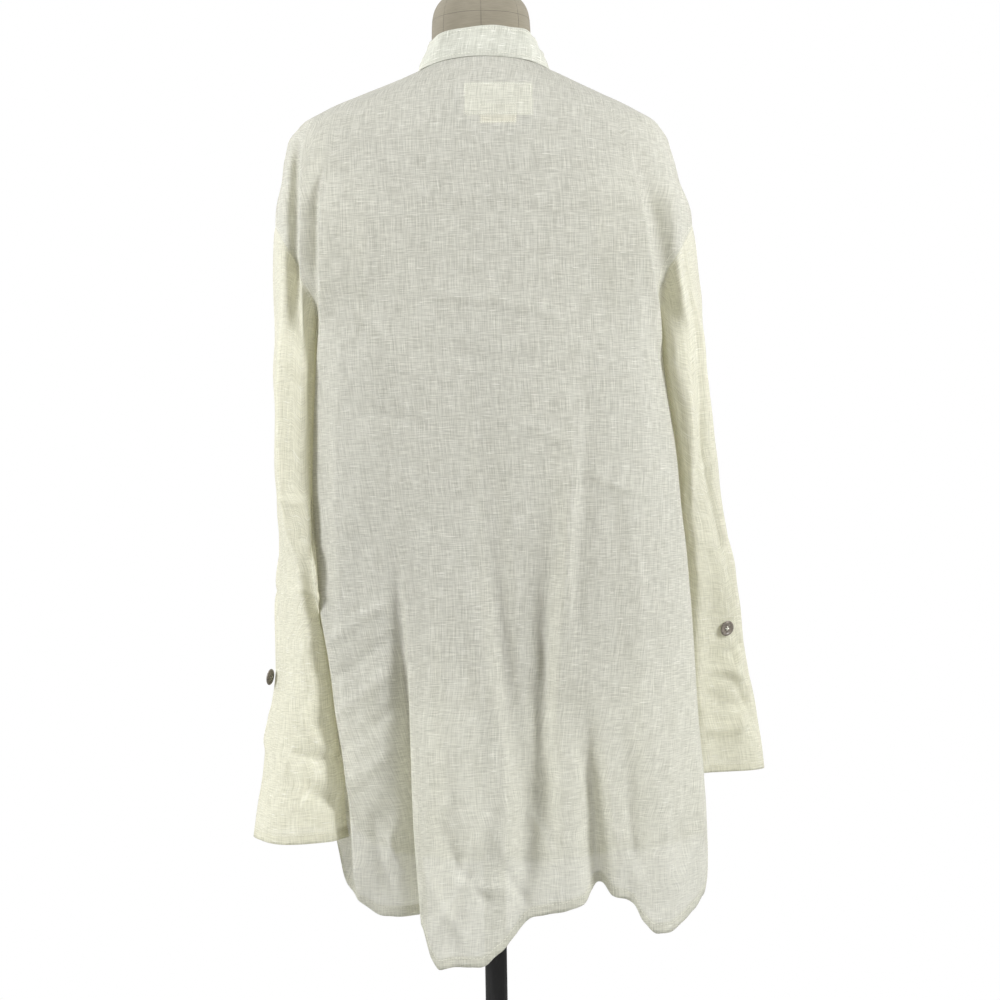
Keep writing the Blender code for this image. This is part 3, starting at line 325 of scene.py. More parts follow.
# side is 1 at the wearer's left, centre is where the button's thread goes into the cloth, and
# tab_line is the height of the line of stitches that holds a roll tab inside
Sleeve = namedtuple("Sleeve", "name side sections creases button centre tab_line")
SLEEVES = table_of(Sleeve,
    ("sleeve_left", 1.0, LEFT_SLEEVE, LEFT_CREASES, "button_left", (186, 50, 729), 736.0),
    ("sleeve_right", -1.0, RIGHT_SLEEVE, RIGHT_CREASES, "button_right", (-222, -88, 766), 776.0),
)
BUTTON_GAP = 0.3              # between a button's back and the cloth
BUTTON_PRESS = 18.0           # how far from its centre the cloth is pressed flat
PATCH = (27.0, 26.0)          # width and height of the stitched patch behind a button
CAP_SEAM = 1378.0             # height of the seam round the form's neck
FORM_SEAM_ANGLES = (90, 270, 42, 138, 222, 318)
FORM_SEAM_SPAN = (704, 1398)  # heights of the ends of its upright seams
BUTTON_HOLES = ((2.1, 0.0), (0.0, 2.1), (-2.1, 0.0), (0.0, -2.1))
HOLE_RADIUS = 0.95
BUTTON_STEPS = 64             # corners of each of its rings
BUTTON_MIDDLE = 1.55          # height of the face's middle, inside the rim
# radius and height of each ring of a button, from its face over the rim to its back
BUTTON_PROFILE = (
    (3.9, 1.6), (4.9, 1.75), (5.5, 2.25), (6.1, 2.55), (6.9, 2.55), (7.5, 2.25),
    (7.9, 1.7), (8.0, 1.2), (7.6, 0.5), (6.8, 0.1), (5.6, 0.0),
)
# a strand's share of the way from hole to hole, and its height
STRAND = (
    (0.0, -0.4), (0.0, 1.2), (0.06, 1.85), (0.3, 2.15), (0.5, 2.2), (0.7, 2.15),
    (0.94, 1.85), (1.0, 1.2), (1.0, -0.4),
)

Label = namedtuple("Label", "across height wide tall")
LABEL_COLUMNS = 34
LABEL_ROWS = 20
LABEL_TURNED = 5              # columns of points in each edge that is turned under
LABEL_MAIN = Label(15.5, 1283.0, 66.0, 34.0)
LABEL_SIZE = Label(15.0, 1268.0, 35.0, 20.0)


# ------------------------------------------------------------------ numbers and tables
def unit(vectors):
    return vectors / np.maximum(np.linalg.norm(vectors, axis=-1, keepdims=True), 1e-12)


def ease(value):
    value = np.clip(value, 0.0, 1.0)
    return value * value * (3 - 2 * value)


def power(value, exponent):
    return np.sign(value) * np.abs(value) ** exponent


def smooth_table(keys, values, at):
    """Values of a table between its rows, on a curve that never overshoots a row."""
    keys = np.asarray(keys, float)
    values = np.asarray(values, float)
    gaps = np.diff(keys)
    slopes = np.diff(values) / gaps
    tangents = np.zeros_like(values)
    tangents[0], tangents[-1] = slopes[0], slopes[-1]
    same_way = slopes[:-1] * slopes[1:] > 0
    heavy, light = 2 * gaps[1:] + gaps[:-1], gaps[1:] + 2 * gaps[:-1]
    safe_low = np.where(same_way, slopes[:-1], 1.0)
    safe_high = np.where(same_way, slopes[1:], 1.0)
    mean = (heavy + light) / (heavy / safe_low + light / safe_high)
    tangents[1:-1] = np.where(same_way, mean, 0.0)
    at = np.clip(at, keys[0], keys[-1])
    row = np.clip(np.searchsorted(keys, at, side="right") - 1, 0, len(keys) - 2)
    part = (at - keys[row]) / gaps[row]
    left = values[row] + part * gaps[row] * tangents[row]
    right = values[row + 1] - (1 - part) * gaps[row] * tangents[row + 1]
    blend = part * part * (3 - 2 * part)
    return left * (1 - blend) + right * blend


def column(table, name):
    return [getattr(row, name) for row in table]


def read(table, key, name, at):
    return smooth_table(column(table, key), column(table, name), at)


def lengths(points, axis=0):
    """How far along an axis of a grid each point lies from the first one."""
    steps = np.linalg.norm(np.diff(points, axis=axis), axis=-1)
    return np.insert(np.cumsum(steps, axis=axis), 0, 0.0, axis=axis)


def at_lengths(at, length, points):
    """The points at some lengths of a curve whose own points lie at the lengths given."""
    return np.stack([np.interp(at, length, values) for values in points.T], axis=1)


def creased(across, height, creases):
    """How far the creases move each place of a cloth along its normal."""
    total = np.zeros(np.broadcast(across, height).shape)
    for crease in creases:
        dx, dz = crease.x1 - crease.x0, crease.z1 - crease.z0
        long = math.hypot(dx, dz)
        run = ((across - crease.x0) * dx + (height - crease.z0) * dz) / long**2
        off = ((across - crease.x0) * dz - (height - crease.z0) * dx) / long
        off = off - crease.bow * 4 * run * (1 - run)
        taper = ease((run + 0.15) / 0.4) * ease((1.15 - run) / 0.4)
        total += crease.depth * taper * np.exp(-np.abs(off / crease.width) ** crease.sharp)
    return total


def draped(grid, centre=0.0):
    """A grid moved to double over along the fold edges of the back and the front.

    centre is the depth of the middle of what the grid goes round, at each of its rows."""
    across, depth, height = -grid[..., 0], grid[..., 1] - centre, grid[..., 2]
    moved = grid.copy()
    for edges, side in ((BACK_EDGES, 1.0), (FRONT_EDGES, -1.0)):
        faces = ease(side * depth / EDGE_FACES)
        for edge in edges:
            places, heights = np.array(edge.path).T
            path = smooth_table(-heights, places, -height)
            grown = ease((heights[0] - height) / edge.begin) * ease(
                (height - heights[-1]) / edge.end
            )
            off = (across - path) * edge.side
            gentle = edge.rise * np.exp(-((off / edge.slope) ** 2))
            drop = np.exp(-((np.maximum(off, 0.0) / edge.steep) ** 2))
            hollow = -edge.sink * np.exp(-(((off - edge.reach * 0.6) / (edge.reach * 0.6)) ** 2))
            profile = np.where(off < 0, gentle, edge.rise * drop) + hollow * (1 - drop)
            tip = edge.lean * edge.side * np.exp(-((off / (edge.steep * 2.2)) ** 2))
            moved[..., 1] += side * profile * grown * faces
            moved[..., 0] -= tip * grown * faces
    return moved


class Surface:
    """A surface that cloth is kept clear of."""

    def __init__(self, points, faces, normals):
        self.tree = BVHTree.FromPolygons([tuple(point) for point in points], faces)
        self.outward = normals

    def clear(self, grid, gap, share=None):
        """The grid, with each point that is inside the surface or nearer than gap moved out."""
        moved = grid.reshape(-1, 3).copy()
        shares = np.ones(len(moved)) if share is None else share.reshape(-1)
        for index, point in enumerate(moved):
            if shares[index] <= 0:
                continue
            hit, _, face, distance = self.tree.find_nearest(tuple(point), CLEAR_REACH)
            if hit is None:
                continue
            outward = self.outward[face]
            rise = (point - np.array(hit)) @ outward
            if distance < gap or rise < -0.7 * distance:
                moved[index] = point + outward * (gap - rise) * shares[index]
        return moved.reshape(grid.shape)


def panels_surface(panels):
    """The body's three panels as one surface, with the outward direction of each face."""
    points, faces, outward = [], [], []
    for name in ("back", "left", "right"):
        grid, normals = panels[name], panels["normals"][name].reshape(-1, 3)
        own = grid_faces(*grid.shape[:2])
        faces += (own + sum(len(part) for part in points)).tolist()
        outward.append(unit(normals[own].mean(axis=1)))
        points.append(grid.reshape(-1, 3))
    return Surface(np.vstack(points), faces, np.vstack(outward))


def rumple(across, height, seed, size, depth):
    """A soft uneven rumple, from waves in many directions."""
    numbers = np.random.default_rng(SEED + seed)
    total = np.zeros(np.broadcast(across, height).shape)
    for _ in range(14):
        heading = numbers.uniform(0, 2 * math.pi)
        long = size * numbers.uniform(0.6, 1.8)
        phase = numbers.uniform(0, 2 * math.pi)
        wave = (across * math.cos(heading) + 0.6 * height * math.sin(heading)) / long
        total += np.sin(2 * math.pi * wave + phase)
    return total * depth / 5


# ------------------------------------------------------------------ the body's surface
def body_point(angle, seam):
    """A point of the unfolded body: angle 0 is its left seam, 90 degrees its centre back."""
    def size(name):
        return read(BODY, "seam", name, seam)

    cosine, sine = np.cos(angle), np.sin(angle)
    behind = sine >= 0
    wide = np.where(cosine >= 0, size("wide_left"), size("wide_right"))
    deep = np.where(behind, size("deep_back"), size("deep_front"))
    middle = np.where(behind, size("back"), size("front"))
    square = size("square")
    side = seam + (size("right") - seam) * (1 - cosine) / 2
    height = side + (middle - side) * np.abs(sine) ** SAG
    x = wide * power(cosine, 2 / square)
    y = deep * power(sine, 2 / square)
    across = power(cosine, 2 - 2 / square) / wide
    deepwards = power(sine, 2 - 2 / square) / deep
    outward = np.stack([across, deepwards, np.zeros_like(x)], axis=-1)
    return np.stack([x, y, height], axis=-1), unit(outward)


def folded_point(angle, seam):
    """A point of the body with its folds and creases."""
    point, outward = body_point(angle, seam)
    across, height = -point[..., 0], point[..., 2]
    along = np.stack([outward[..., 1], -outward[..., 0], np.zeros_like(across)], axis=-1)
    rightwards = np.where(along[..., :1] > 0, -along, along)
    sine = np.sin(angle)
    for folds, creases, here, seed in (
        (BACK_FOLDS, BACK_CREASES, sine > 0, 1), (FRONT_FOLDS, FRONT_CREASES, sine < 0, 2)
    ):
        fade = np.where(here, ease(np.abs(sine) / SIDE_FADE), 0.0)
        for fold in folds:
            run = (fold.top - height) / (fold.top - fold.foot)
            place = fold.top_across + (fold.foot_across - fold.top_across) * run
            offset = across - place
            flank = np.where(offset < 0, fold.left, fold.right)
            grown = ease((fold.top - height) / fold.rise)
            grown = grown * ease((height - fold.fades) / FOLD_FADES + 1)
            amount = grown * fade * np.exp(-((offset / flank) ** 2))
            point = point + outward * (amount * fold.height)[..., None]
            point = point + rightwards * (amount * fold.lean)[..., None]
        fine = creased(across, height, creases) + rumple(across, height, seed, 42, 0.35)
        low = ease((LOW_RUMPLES - height) / 200)
        fine = fine + rumple(across, height, seed + 10, 26, 0.45) * low
        point = point + outward * (fine * fade)[..., None]
    return point


def hem_height(angle):
    """The hem's seam heights at some angles."""
    across = -body_point(angle, np.full_like(angle, HEM_MIDDLE))[0][:, 0]
    back = read(HEM_BACK, "across", "height", across) + rumple(across, across * 0, 51, 26, 0.9)
    front = read(HEM_FRONT, "across", "height", across)
    return np.where(np.sin(angle) >= 0, back, front)


def shoulder_seams():
    """Seam heights from the shoulder's end up to the neckline, even along the shoulder."""
    seams = np.linspace(DROP_END, NECKLINE, 400)
    wide = read(BODY, "seam", "wide_left", seams)
    length = np.concatenate([[0], np.cumsum(np.hypot(np.diff(seams), np.diff(wide)))])
    return np.interp(np.linspace(0, length[-1], SHOULDER_ROWS + 1), length, seams)[1:]


def body_rows():
    """Each row's share of the way from the hem to the underarm, and its seam height."""
    rows = [(step / SKIRT_ROWS, UNDERARM) for step in range(SKIRT_ROWS)]
    steps = np.arange(ARMHOLE_ROWS + 1) / ARMHOLE_ROWS
    crowded = (1 - np.cos(math.pi * steps)) / 2
    rows += [(1.0, seam) for seam in UNDERARM + (DROP_END - UNDERARM) * (steps + crowded) / 2]
    rows += [(1.0, seam) for seam in shoulder_seams()]
    return rows


def armhole_cut(share, seam):
    """The angle that the armhole takes from a panel's side in this row."""
    if share < 1 or seam >= DROP_END:
        return 0.0
    middle = (UNDERARM + DROP_END) / 2
    reach = (seam - middle) / (DROP_END - middle)
    return ARMHOLE_REACH * math.sqrt(max(0.0, 1 - reach * reach))


def slit_cut(share, seam):
    """The angle that half of the neck slit takes from the front's middle in this row."""
    if share < 1:
        return 0.0
    height, top, foot = read(BODY, "seam", "front", np.array([seam, NECKLINE, SLIT_SEAM]))
    opened = max(0.0, (height - foot) / (top - foot))
    wide = float(read(BODY, "seam", "wide_right", seam))
    square = float(read(BODY, "seam", "square", seam))
    return math.asin(min(1.0, (SLIT_OPEN * opened / wide)) ** (square / 2))


def section_row(ends, cuts, share, seam, columns, edge):
    """Points along one folded section between two angles, less what is cut from its ends.

    The share edge of the points at each end moves with the cut, and the rest stays."""
    angle = np.linspace(*ends, DENSE)
    low = hem_height(angle) if share < 1 else np.full(DENSE, float(seam))
    curve = folded_point(angle, low + (seam - low) * share)
    length = lengths(curve)
    part = np.arange(columns + 1) / columns
    even = part * length[-1]
    turned = np.abs(angle - angle[0])
    first = np.interp(cuts[0], turned, length)
    last = np.interp(turned[-1] - cuts[1], turned, length)
    room = edge * length[-1]
    even = np.where(part < edge, first + (room - first) * part / edge, even)
    back_part = 1 - part
    squeezed = last - (last - length[-1] + room) * back_part / edge
    even = np.where(back_part < edge, squeezed, even)
    return at_lengths(even, length, curve)


def panel_grid(ends, last_cut, columns, edge):
    """A panel's rows of points from its side to its other edge, which last_cut cuts."""
    return np.array([
        section_row(ends, (armhole_cut(*row), last_cut(*row)), *row, columns, edge)
        for row in body_rows()
    ])


# ------------------------------------------------------------------ grids and meshes
def grid_normals(grid, outward, closed=False):
    """Unit normals of a grid of points, on the side that outward, one vector a point, faces."""
    along = np.gradient(grid, axis=0)
    if closed:
        across = (np.roll(grid, -1, axis=1) - np.roll(grid, 1, axis=1)) / 2
    else:
        across = np.gradient(grid, axis=1)
    normals = unit(np.cross(across, along))
    facing = np.sum(normals * outward, axis=-1, keepdims=True)
    return normals if np.mean(facing) > 0 else -normals


def grid_faces(rows, columns, closed=False, flip=False):
    """The four-sided faces of a grid of points, whose last column can meet its first one."""
    first = np.arange(rows - 1)[:, None] * columns
    place = np.arange(columns if closed else columns - 1)[None, :]
    low, after = first + place, first + (place + 1) % columns
    faces = np.stack([low, after, after + columns, low + columns], axis=-1).reshape(-1, 4)
    return faces[:, ::-1] if flip else faces


def threads(grid, across_zero=0, down_zero=0, held=None):
    """Each point's place on the cut cloth: its distances along the weft and along the warp.

    Rows past held keep the places along the weft that row held has."""
    along, down = lengths(grid, 1), lengths(grid, 0)
    along -= along[:, across_zero : across_zero + 1]
    if held is not None:
        along[held:] = along[held]
    down -= down[down_zero : down_zero + 1]
    return np.stack([along, down, np.zeros_like(along)], axis=-1) * MM


def level_threads(grid, across_zero, shoulder):
    """The places on a hanging panel's cloth, whose weft lies level up to row shoulder."""
    place = threads(grid, across_zero, shoulder)
    level = (grid[..., 2] - grid[shoulder, :, 2].mean()) * MM
    place[:shoulder, :, 1] = level[:shoulder]
    place[shoulder:, :, 1] += level[shoulder][None]
    return place


def link(name, data):
    """A new object in the scene."""
    made = bpy.data.objects.new(name, data)
    bpy.context.scene.collection.objects.link(made)
    return made


def mesh_of(name, work):
    """The mesh that a bmesh holds, which is freed."""
    mesh = bpy.data.meshes.new(name)
    work.to_mesh(mesh)
    work.free()
    return mesh


def declare(made, replaced, slot_name):
    """Puts the object on the root and hides the nodes it replaces; slot_name is not used."""
    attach(made, "root")
    if replaced:
        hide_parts(*replaced)
    return made


def add_mesh(name, points, faces, material, thread=None, replaced=(), slot="linen", merge=0.0):
    """A new smooth piece from points in millimetres, riding on the part.

    thread gives each point's place on the cut cloth, and points nearer than merge are joined."""
    mesh = bpy.data.meshes.new(name)
    places = np.reshape(points, (-1, 3)) * MM
    mesh.from_pydata(places.tolist(), [], [list(face) for face in faces])
    if thread is not None:
        attribute = mesh.attributes.new("thread", "FLOAT_VECTOR", "POINT")
        attribute.data.foreach_set("vector", np.asarray(thread, np.float32).ravel())
    if merge:
        work = bmesh.new()
        work.from_mesh(mesh)
        bmesh.ops.remove_doubles(work, verts=work.verts, dist=merge)
        work.to_mesh(mesh)
        work.free()
    mesh.validate()
    mesh.shade_smooth()
    mesh.materials.append(material)
    return declare(link(name, mesh), replaced, slot)


def join(parts):
    """Several (points, faces) as one."""
    points, faces = [], []
    for some_points, some_faces in parts:
        faces += [[corner + len(points) for corner in face] for face in some_faces]
        points += list(some_points)
    return np.array(points), faces


def add_layers(name, layers, material, replaced=(), slot="linen", merge=0.0):
    """A new piece of several grids of points, each with its threads and if its faces flip."""
    points, faces = join([
        (grid.reshape(-1, 3), grid_faces(*grid.shape[:2], flip=flip)) for grid, _, flip in layers
    ])
    places = np.vstack([thread.reshape(-1, 3) for _, thread, _ in layers])
    return add_mesh(name, points, faces, material, places, replaced, slot, merge)


def add_grid(name, grid, material, thread, replaced=(), flip=False):
    """A new piece of linen from one grid of points."""
    return add_layers(name, [(grid, thread, flip)], material, replaced)


def column_points(grid, distances, from_end=False):
    """Points at the given distances along each column from its first row, or its last."""
    reach = (grid[::-1] if from_end else grid)[:HEM_REACH]
    length = lengths(reach)
    columns = range(grid.shape[1])
    found = [at_lengths(distances, length[:, place], reach[:, place]) for place in columns]
    return np.stack(found, axis=1)


# A turned-up hem, from the stitched edge inside down to the fold: distance from the hem's edge
# and distance inside the outer layer.
HEM_PROFILE = (
    (HEM_FOLD - 1, 0.75), (HEM_FOLD, 0.6), (HEM_FOLD - 0.6, 0.45), (8.0, 0.5), (6.0, 0.6),
    (4.0, 0.7), (2.0, 0.75), (0.9, 0.75), (0.3, 0.55), (0.0, 0.3),
)


def with_hem(grid, normals):
    """The grid with its first row's edge turned up inside, as rows before it."""
    distances, inside = np.array(HEM_PROFILE).T
    order = np.argsort(distances)
    raised = np.zeros((len(distances), grid.shape[1], 3))
    raised[order] = column_points(grid, distances[order])
    return np.vstack([raised - normals[:1] * inside[:, None, None], grid])


# ------------------------------------------------------------------ materials
SLUB = (0.93, 0.93, 0.88, 1.0)
WARM_THROUGH = (1.0, 0.985, 0.88, 1.0)
DENSITY = (1.24, 1.90)        # what the noises of the linen's threads add up to, at its ends


class Nodes:
    """Short calls for the node tree of a material or a world."""

    def __init__(self, owner):
        owner.use_nodes = True
        self.owner, self.tree = owner, owner.node_tree
        self.tree.nodes.clear()

    def add(self, kind, inputs=(), **settings):
        """The outputs of a new node. An input is a value, or a socket to link from."""
        node = self.tree.nodes.new("ShaderNode" + kind)
        for key, value in settings.items():
            setattr(node, key, value)
        for key, value in dict(inputs).items():
            if isinstance(value, bpy.types.NodeSocket):
                self.tree.links.new(value, node.inputs[key])
            else:
                node.inputs[key].default_value = value
        return node.outputs

    def math(self, operation, first, second=0.0):
        return self.add("Math", {0: first, 1: second}, operation=operation)[0]

    def plus(self, first, second):
        return self.math("ADD", first, second)

    def times(self, first, second):
        return self.math("MULTIPLY", first, second)

    def wave(self, place, long):
        """A sine wave along a place, whose waves are long metres apart."""
        return self.math("SINE", self.times(place, 2 * math.pi / long))

    def mix(self, factor, first, second, blend="MIX"):
        inputs = {0: factor, 6: first, 7: second}
        return self.add("Mix", inputs, data_type="RGBA", blend_type=blend)[2]

    def place(self):
        return self.add("TexCoord")["Object"]

    def thread(self):
        """A point's place on the cut cloth, and its parts along the weft and the warp."""
        place = self.add("Attribute", attribute_name="thread")["Vector"]
        parts = self.add("SeparateXYZ", {"Vector": place})
        return place, parts["X"], parts["Y"]

    def stretched(self, place, scale):
        return self.add("Mapping", {"Vector": place, "Scale": scale})[0]

    def noise(self, vector, scale, detail=2.0, roughness=0.5):
        inputs = {"Vector": vector, "Scale": scale, "Detail": detail, "Roughness": roughness}
        return self.add("TexNoise", inputs)["Fac"]

    def ramp(self, factor, low, high, to_low=0.0, to_high=1.0):
        inputs = {"Value": factor, "From Min": low, "From Max": high}
        return self.add("MapRange", {**inputs, "To Min": to_low, "To Max": to_high})["Result"]

    def bump(self, height, strength, distance):
        inputs = {"Height": height, "Strength": strength, "Distance": distance}
        return self.add("Bump", inputs)[0]

    def principled(self, tone, rough, **more):
        """A Principled shader, with its further inputs by name, where _ stands for a space."""
        inputs = {key.replace("_", " "): value for key, value in more.items()}
        return self.add("BsdfPrincipled", {"Base Color": tone, "Roughness": rough, **inputs})[0]

    def mixed(self, share, first, second):
        return self.add("MixShader", {0: share, 1: first, 2: second})[0]

    def finish(self, shader, output="OutputMaterial"):
        self.add(output, {"Surface": shader})
        return self.owner


def material_nodes(name):
    return Nodes(bpy.data.materials.new(name))


def colour(red, green, blue):
    """Linear colour from 0-255 display values."""
    def linear(value):
        value /= 255
        return value / 12.92 if value <= 0.04045 else ((value + 0.055) / 1.055) ** 2.4
    return (linear(red), linear(green), linear(blue), 1.0)


def darker(shade, share):
    return tuple(value * share for value in shade[:3]) + (1.0,)


def slubs(nodes, along, across, seed, long):
    """The threads that run along one axis, each uneven on its own: their brightness, their
    wider bands, and the short heavy slubs. long is how fast they change along the thread."""
    def streaks(along_scale, across_scale, shift, detail):
        place = nodes.add("CombineXYZ", {
            "X": nodes.times(along, along_scale), "Y": nodes.times(across, across_scale),
            "Z": float(seed) + shift,
        })[0]
        return nodes.noise(place, 1.0, detail, 0.6)
    fine = streaks(long, 1750.0, 0.0, 1.0)
    band = streaks(long * 0.5, 700.0, 9.0, 1.0)
    slub = nodes.ramp(streaks(long * 1.1, 900.0, 21.0, 0.0), 0.72, 0.80)
    return fine, band, slub


def linen(name, base, thick, openness, through):
    """Sheer slubby linen. thick is the colour of its heavy threads, openness the share of it
    that is holes between threads, and through how much of the rest glows with light behind."""
    nodes = material_nodes(name)
    thread, weft, warp = nodes.thread()
    weft_fine, weft_band, weft_slub = slubs(nodes, weft, warp, 1, 80.0)
    warp_fine, warp_band, warp_slub = slubs(nodes, warp, weft, 5, 52.0)
    fine = nodes.plus(weft_fine, warp_fine)
    band = nodes.plus(weft_band, warp_band)
    dense = nodes.plus(fine, nodes.times(band, 0.5))
    dense = nodes.plus(dense, nodes.times(nodes.noise(thread, 30.0, 3.0, 0.6), 0.12))
    slub = nodes.math("MAXIMUM", weft_slub, nodes.times(warp_slub, 0.6))
    tone = nodes.mix(nodes.ramp(dense, *DENSITY), base, thick)
    tone = nodes.mix(nodes.times(slub, 0.85), tone, SLUB)
    bump = nodes.bump(nodes.plus(dense, nodes.times(slub, 0.8)), 0.22, 0.0006)
    cloth = nodes.principled(
        tone, 0.92, Normal=bump, Sheen_Weight=0.2, Sheen_Roughness=0.5, Specular_IOR_Level=0.2
    )
    warmed = nodes.mix(1.0, tone, WARM_THROUGH, "MULTIPLY")
    glow = nodes.add("BsdfTranslucent", {"Color": warmed, "Normal": bump})[0]
    hole = nodes.add("BsdfTransparent")[0]
    open_share = nodes.ramp(dense, *DENSITY, openness * 2.2, openness * 0.2)
    return nodes.finish(nodes.mixed(open_share, nodes.mixed(through, cloth, glow), hole))


def thread_material(name, base):
    """Matt cotton thread with a fine twist."""
    nodes = material_nodes(name)
    twist = nodes.noise(nodes.place(), 2600.0, 2.0, 0.6)
    tone = nodes.mix(nodes.ramp(twist, 0.3, 0.7), base, darker(base, 0.86))
    bump = nodes.bump(twist, 0.4, 0.0002)
    return nodes.finish(nodes.principled(tone, 0.75, Normal=bump, Sheen_Weight=0.2))


def canvas_material(name):
    """The form's cover: a close plain weave in taupe, greyer in cloudy patches."""
    nodes = material_nodes(name)
    place = nodes.place()
    split = nodes.add("SeparateXYZ", {"Vector": place})
    sides = [nodes.math("ABSOLUTE", split[axis]) for axis in "XY"]
    weave = nodes.times(nodes.wave(split["Z"], 0.0009), nodes.wave(nodes.plus(*sides), 0.0011))
    cloudy = nodes.noise(place, 9.0, 4.0, 0.6)
    slub = nodes.noise(nodes.stretched(place, (90, 90, 1500)), 1.0, 2.0)
    tone = nodes.mix(nodes.ramp(cloudy, 0.3, 0.7), colour(137, 131, 115), colour(120, 114, 101))
    tone = nodes.mix(nodes.ramp(slub, 0.35, 0.75, 0.0, 0.35), tone, colour(160, 153, 138))
    bump = nodes.bump(nodes.plus(nodes.times(weave, 0.5), slub), 0.3, 0.0004)
    return nodes.finish(nodes.principled(
        tone, 0.9, Normal=bump, Sheen_Weight=0.15, Specular_IOR_Level=0.25
    ))


def horn_material(name):
    """Dark streaked shirt-button plastic with a soft polish."""
    nodes = material_nodes(name)
    place = nodes.place()
    swirl = nodes.noise(nodes.stretched(place, (1, 1, 2.4)), 260.0, 4.0, 0.65)
    tone = nodes.mix(nodes.ramp(swirl, 0.35, 0.65), colour(86, 80, 74), colour(138, 130, 120))
    rough = nodes.ramp(nodes.noise(place, 900.0), 0.3, 0.7, 0.28, 0.42)
    return nodes.finish(nodes.principled(tone, rough))


def metal_material(name):
    """Black satin paint on steel, with a fine orange-peel and faint scuffs."""
    nodes = material_nodes(name)
    place = nodes.place()
    scuff = nodes.noise(nodes.stretched(place, (40, 40, 6)), 1.0, 5.0, 0.7)
    tone = nodes.mix(nodes.ramp(scuff, 0.45, 0.8), colour(26, 26, 27), colour(58, 58, 58))
    rough = nodes.ramp(scuff, 0.3, 0.75, 0.34, 0.55)
    bump = nodes.bump(nodes.noise(place, 700.0), 0.12, 0.0003)
    return nodes.finish(nodes.principled(tone, rough, Metallic=0.35, Normal=bump))


def ribbon_material(name, base):
    """Satin-woven label ribbon: fine cross ribs and a soft shine."""
    nodes = material_nodes(name)
    thread, _, warp = nodes.thread()
    cloudy = nodes.ramp(nodes.noise(thread, 90.0, 3.0), 0.3, 0.7)
    tone = nodes.mix(cloudy, base, darker(base, 0.93))
    bump = nodes.bump(nodes.wave(warp, 0.0007), 0.25, 0.0002)
    cloth = nodes.principled(tone, 0.6, Normal=bump, Sheen_Weight=0.2)
    glow = nodes.add("BsdfTranslucent", {"Color": tone})[0]
    return nodes.finish(nodes.mixed(0.3, cloth, glow))


def floor_material(name):
    nodes = material_nodes(name)
    cloudy = nodes.noise(nodes.place(), 3.0)
    tone = nodes.mix(cloudy, colour(240, 240, 238), colour(233, 233, 231))
    return nodes.finish(nodes.principled(tone, 0.8))


# ------------------------------------------------------------------ stitches
CORD_SIDES = 6
STITCH_SIDES = 5
STITCH_LONG = 2.3
STITCH_GAP = 1.0
STITCH_RADIUS = 0.24
STITCH_LIFT = 0.05
# each ring of a stitch: its share of the length, and its size and rise as shares of the radius
STITCH_RINGS = np.array(((0.0, 0.4, -0.3), (0.2, 1.0, 0.6), (0.8, 1.0, 0.6), (1.0, 0.4, -0.3)))


def closed_tube(rings):
    """Rings of points as a tube with closed ends, as (points, faces)."""
    count, sides = rings.shape[:2]
    faces = grid_faces(count, sides, closed=True).tolist()
    faces += [list(range(sides))[::-1], list(range((count - 1) * sides, count * sides))]
    return rings.reshape(-1, 3), faces


def round_turns(count):
    """The cosine and the sine of even turns round a circle, for rings of that many points."""
    turns = 2 * math.pi * np.arange(count) / count
    return np.cos(turns)[:, None], np.sin(turns)[:, None]


def cord(points, normals, radius):
    """A thin round thread along a line on a surface."""
    side = unit(np.cross(normals, unit(np.gradient(points, axis=0))))
    cosine, sine = round_turns(CORD_SIDES)
    return closed_tube(
        points[:, None] + (side[:, None] * cosine + normals[:, None] * sine) * radius
    )


def stitches(points, normals, long=STITCH_LONG, gap=STITCH_GAP, radius=STITCH_RADIUS):
    """Small thread dashes along a line on a cloth, each as (points, faces)."""
    length = lengths(points)
    shares, sizes, rises = STITCH_RINGS.T
    cosine, sine = round_turns(STITCH_SIDES)
    dashes = []
    for index in range(max(1, int(length[-1] / (long + gap)))):
        stations = index * (long + gap) + long * shares
        if stations[-1] > length[-1]:
            break
        centre = at_lengths(stations, length, points)
        up = unit(at_lengths(stations, length, normals))
        side = unit(np.cross(up, unit(centre[-1] - centre[0])))
        offset = side[:, None] * cosine + up[:, None] * sine * 0.8
        middle = centre + up * (rises * radius + STITCH_LIFT)[:, None]
        dashes.append(closed_tube(middle[:, None] + offset * (sizes * radius)[:, None, None]))
    return dashes


# ------------------------------------------------------------------ camera, lights and stage
def add_camera():
    data = bpy.data.cameras.new("camera")
    data.sensor_width = SENSOR
    data.lens = SENSOR * CAMERA_DISTANCE
    data.shift_x = (IMAGE / 2 - AXIS_PIXEL) / IMAGE
    made = link("camera", data)
    made.location = (0, CAMERA_DISTANCE, CAMERA_HEIGHT)
    facing = Vector((0, -1, 0)).to_track_quat("-Z", "Y").to_matrix()
    made.rotation_euler = (facing @ Matrix.Rotation(-CAMERA_ROLL, 3, "Z")).to_euler()
    bpy.context.scene.camera = made


def add_light(name, place, aim, size, strength, spread):
    data = bpy.data.lights.new(name, "AREA")
    data.shape = "DISK"
    data.size = size
    data.energy = strength
    data.spread = math.radians(spread)
    made = link(name, data)
    made.location = place
    made.rotation_euler = (Vector(aim) - Vector(place)).to_track_quat("-Z", "Y").to_euler()


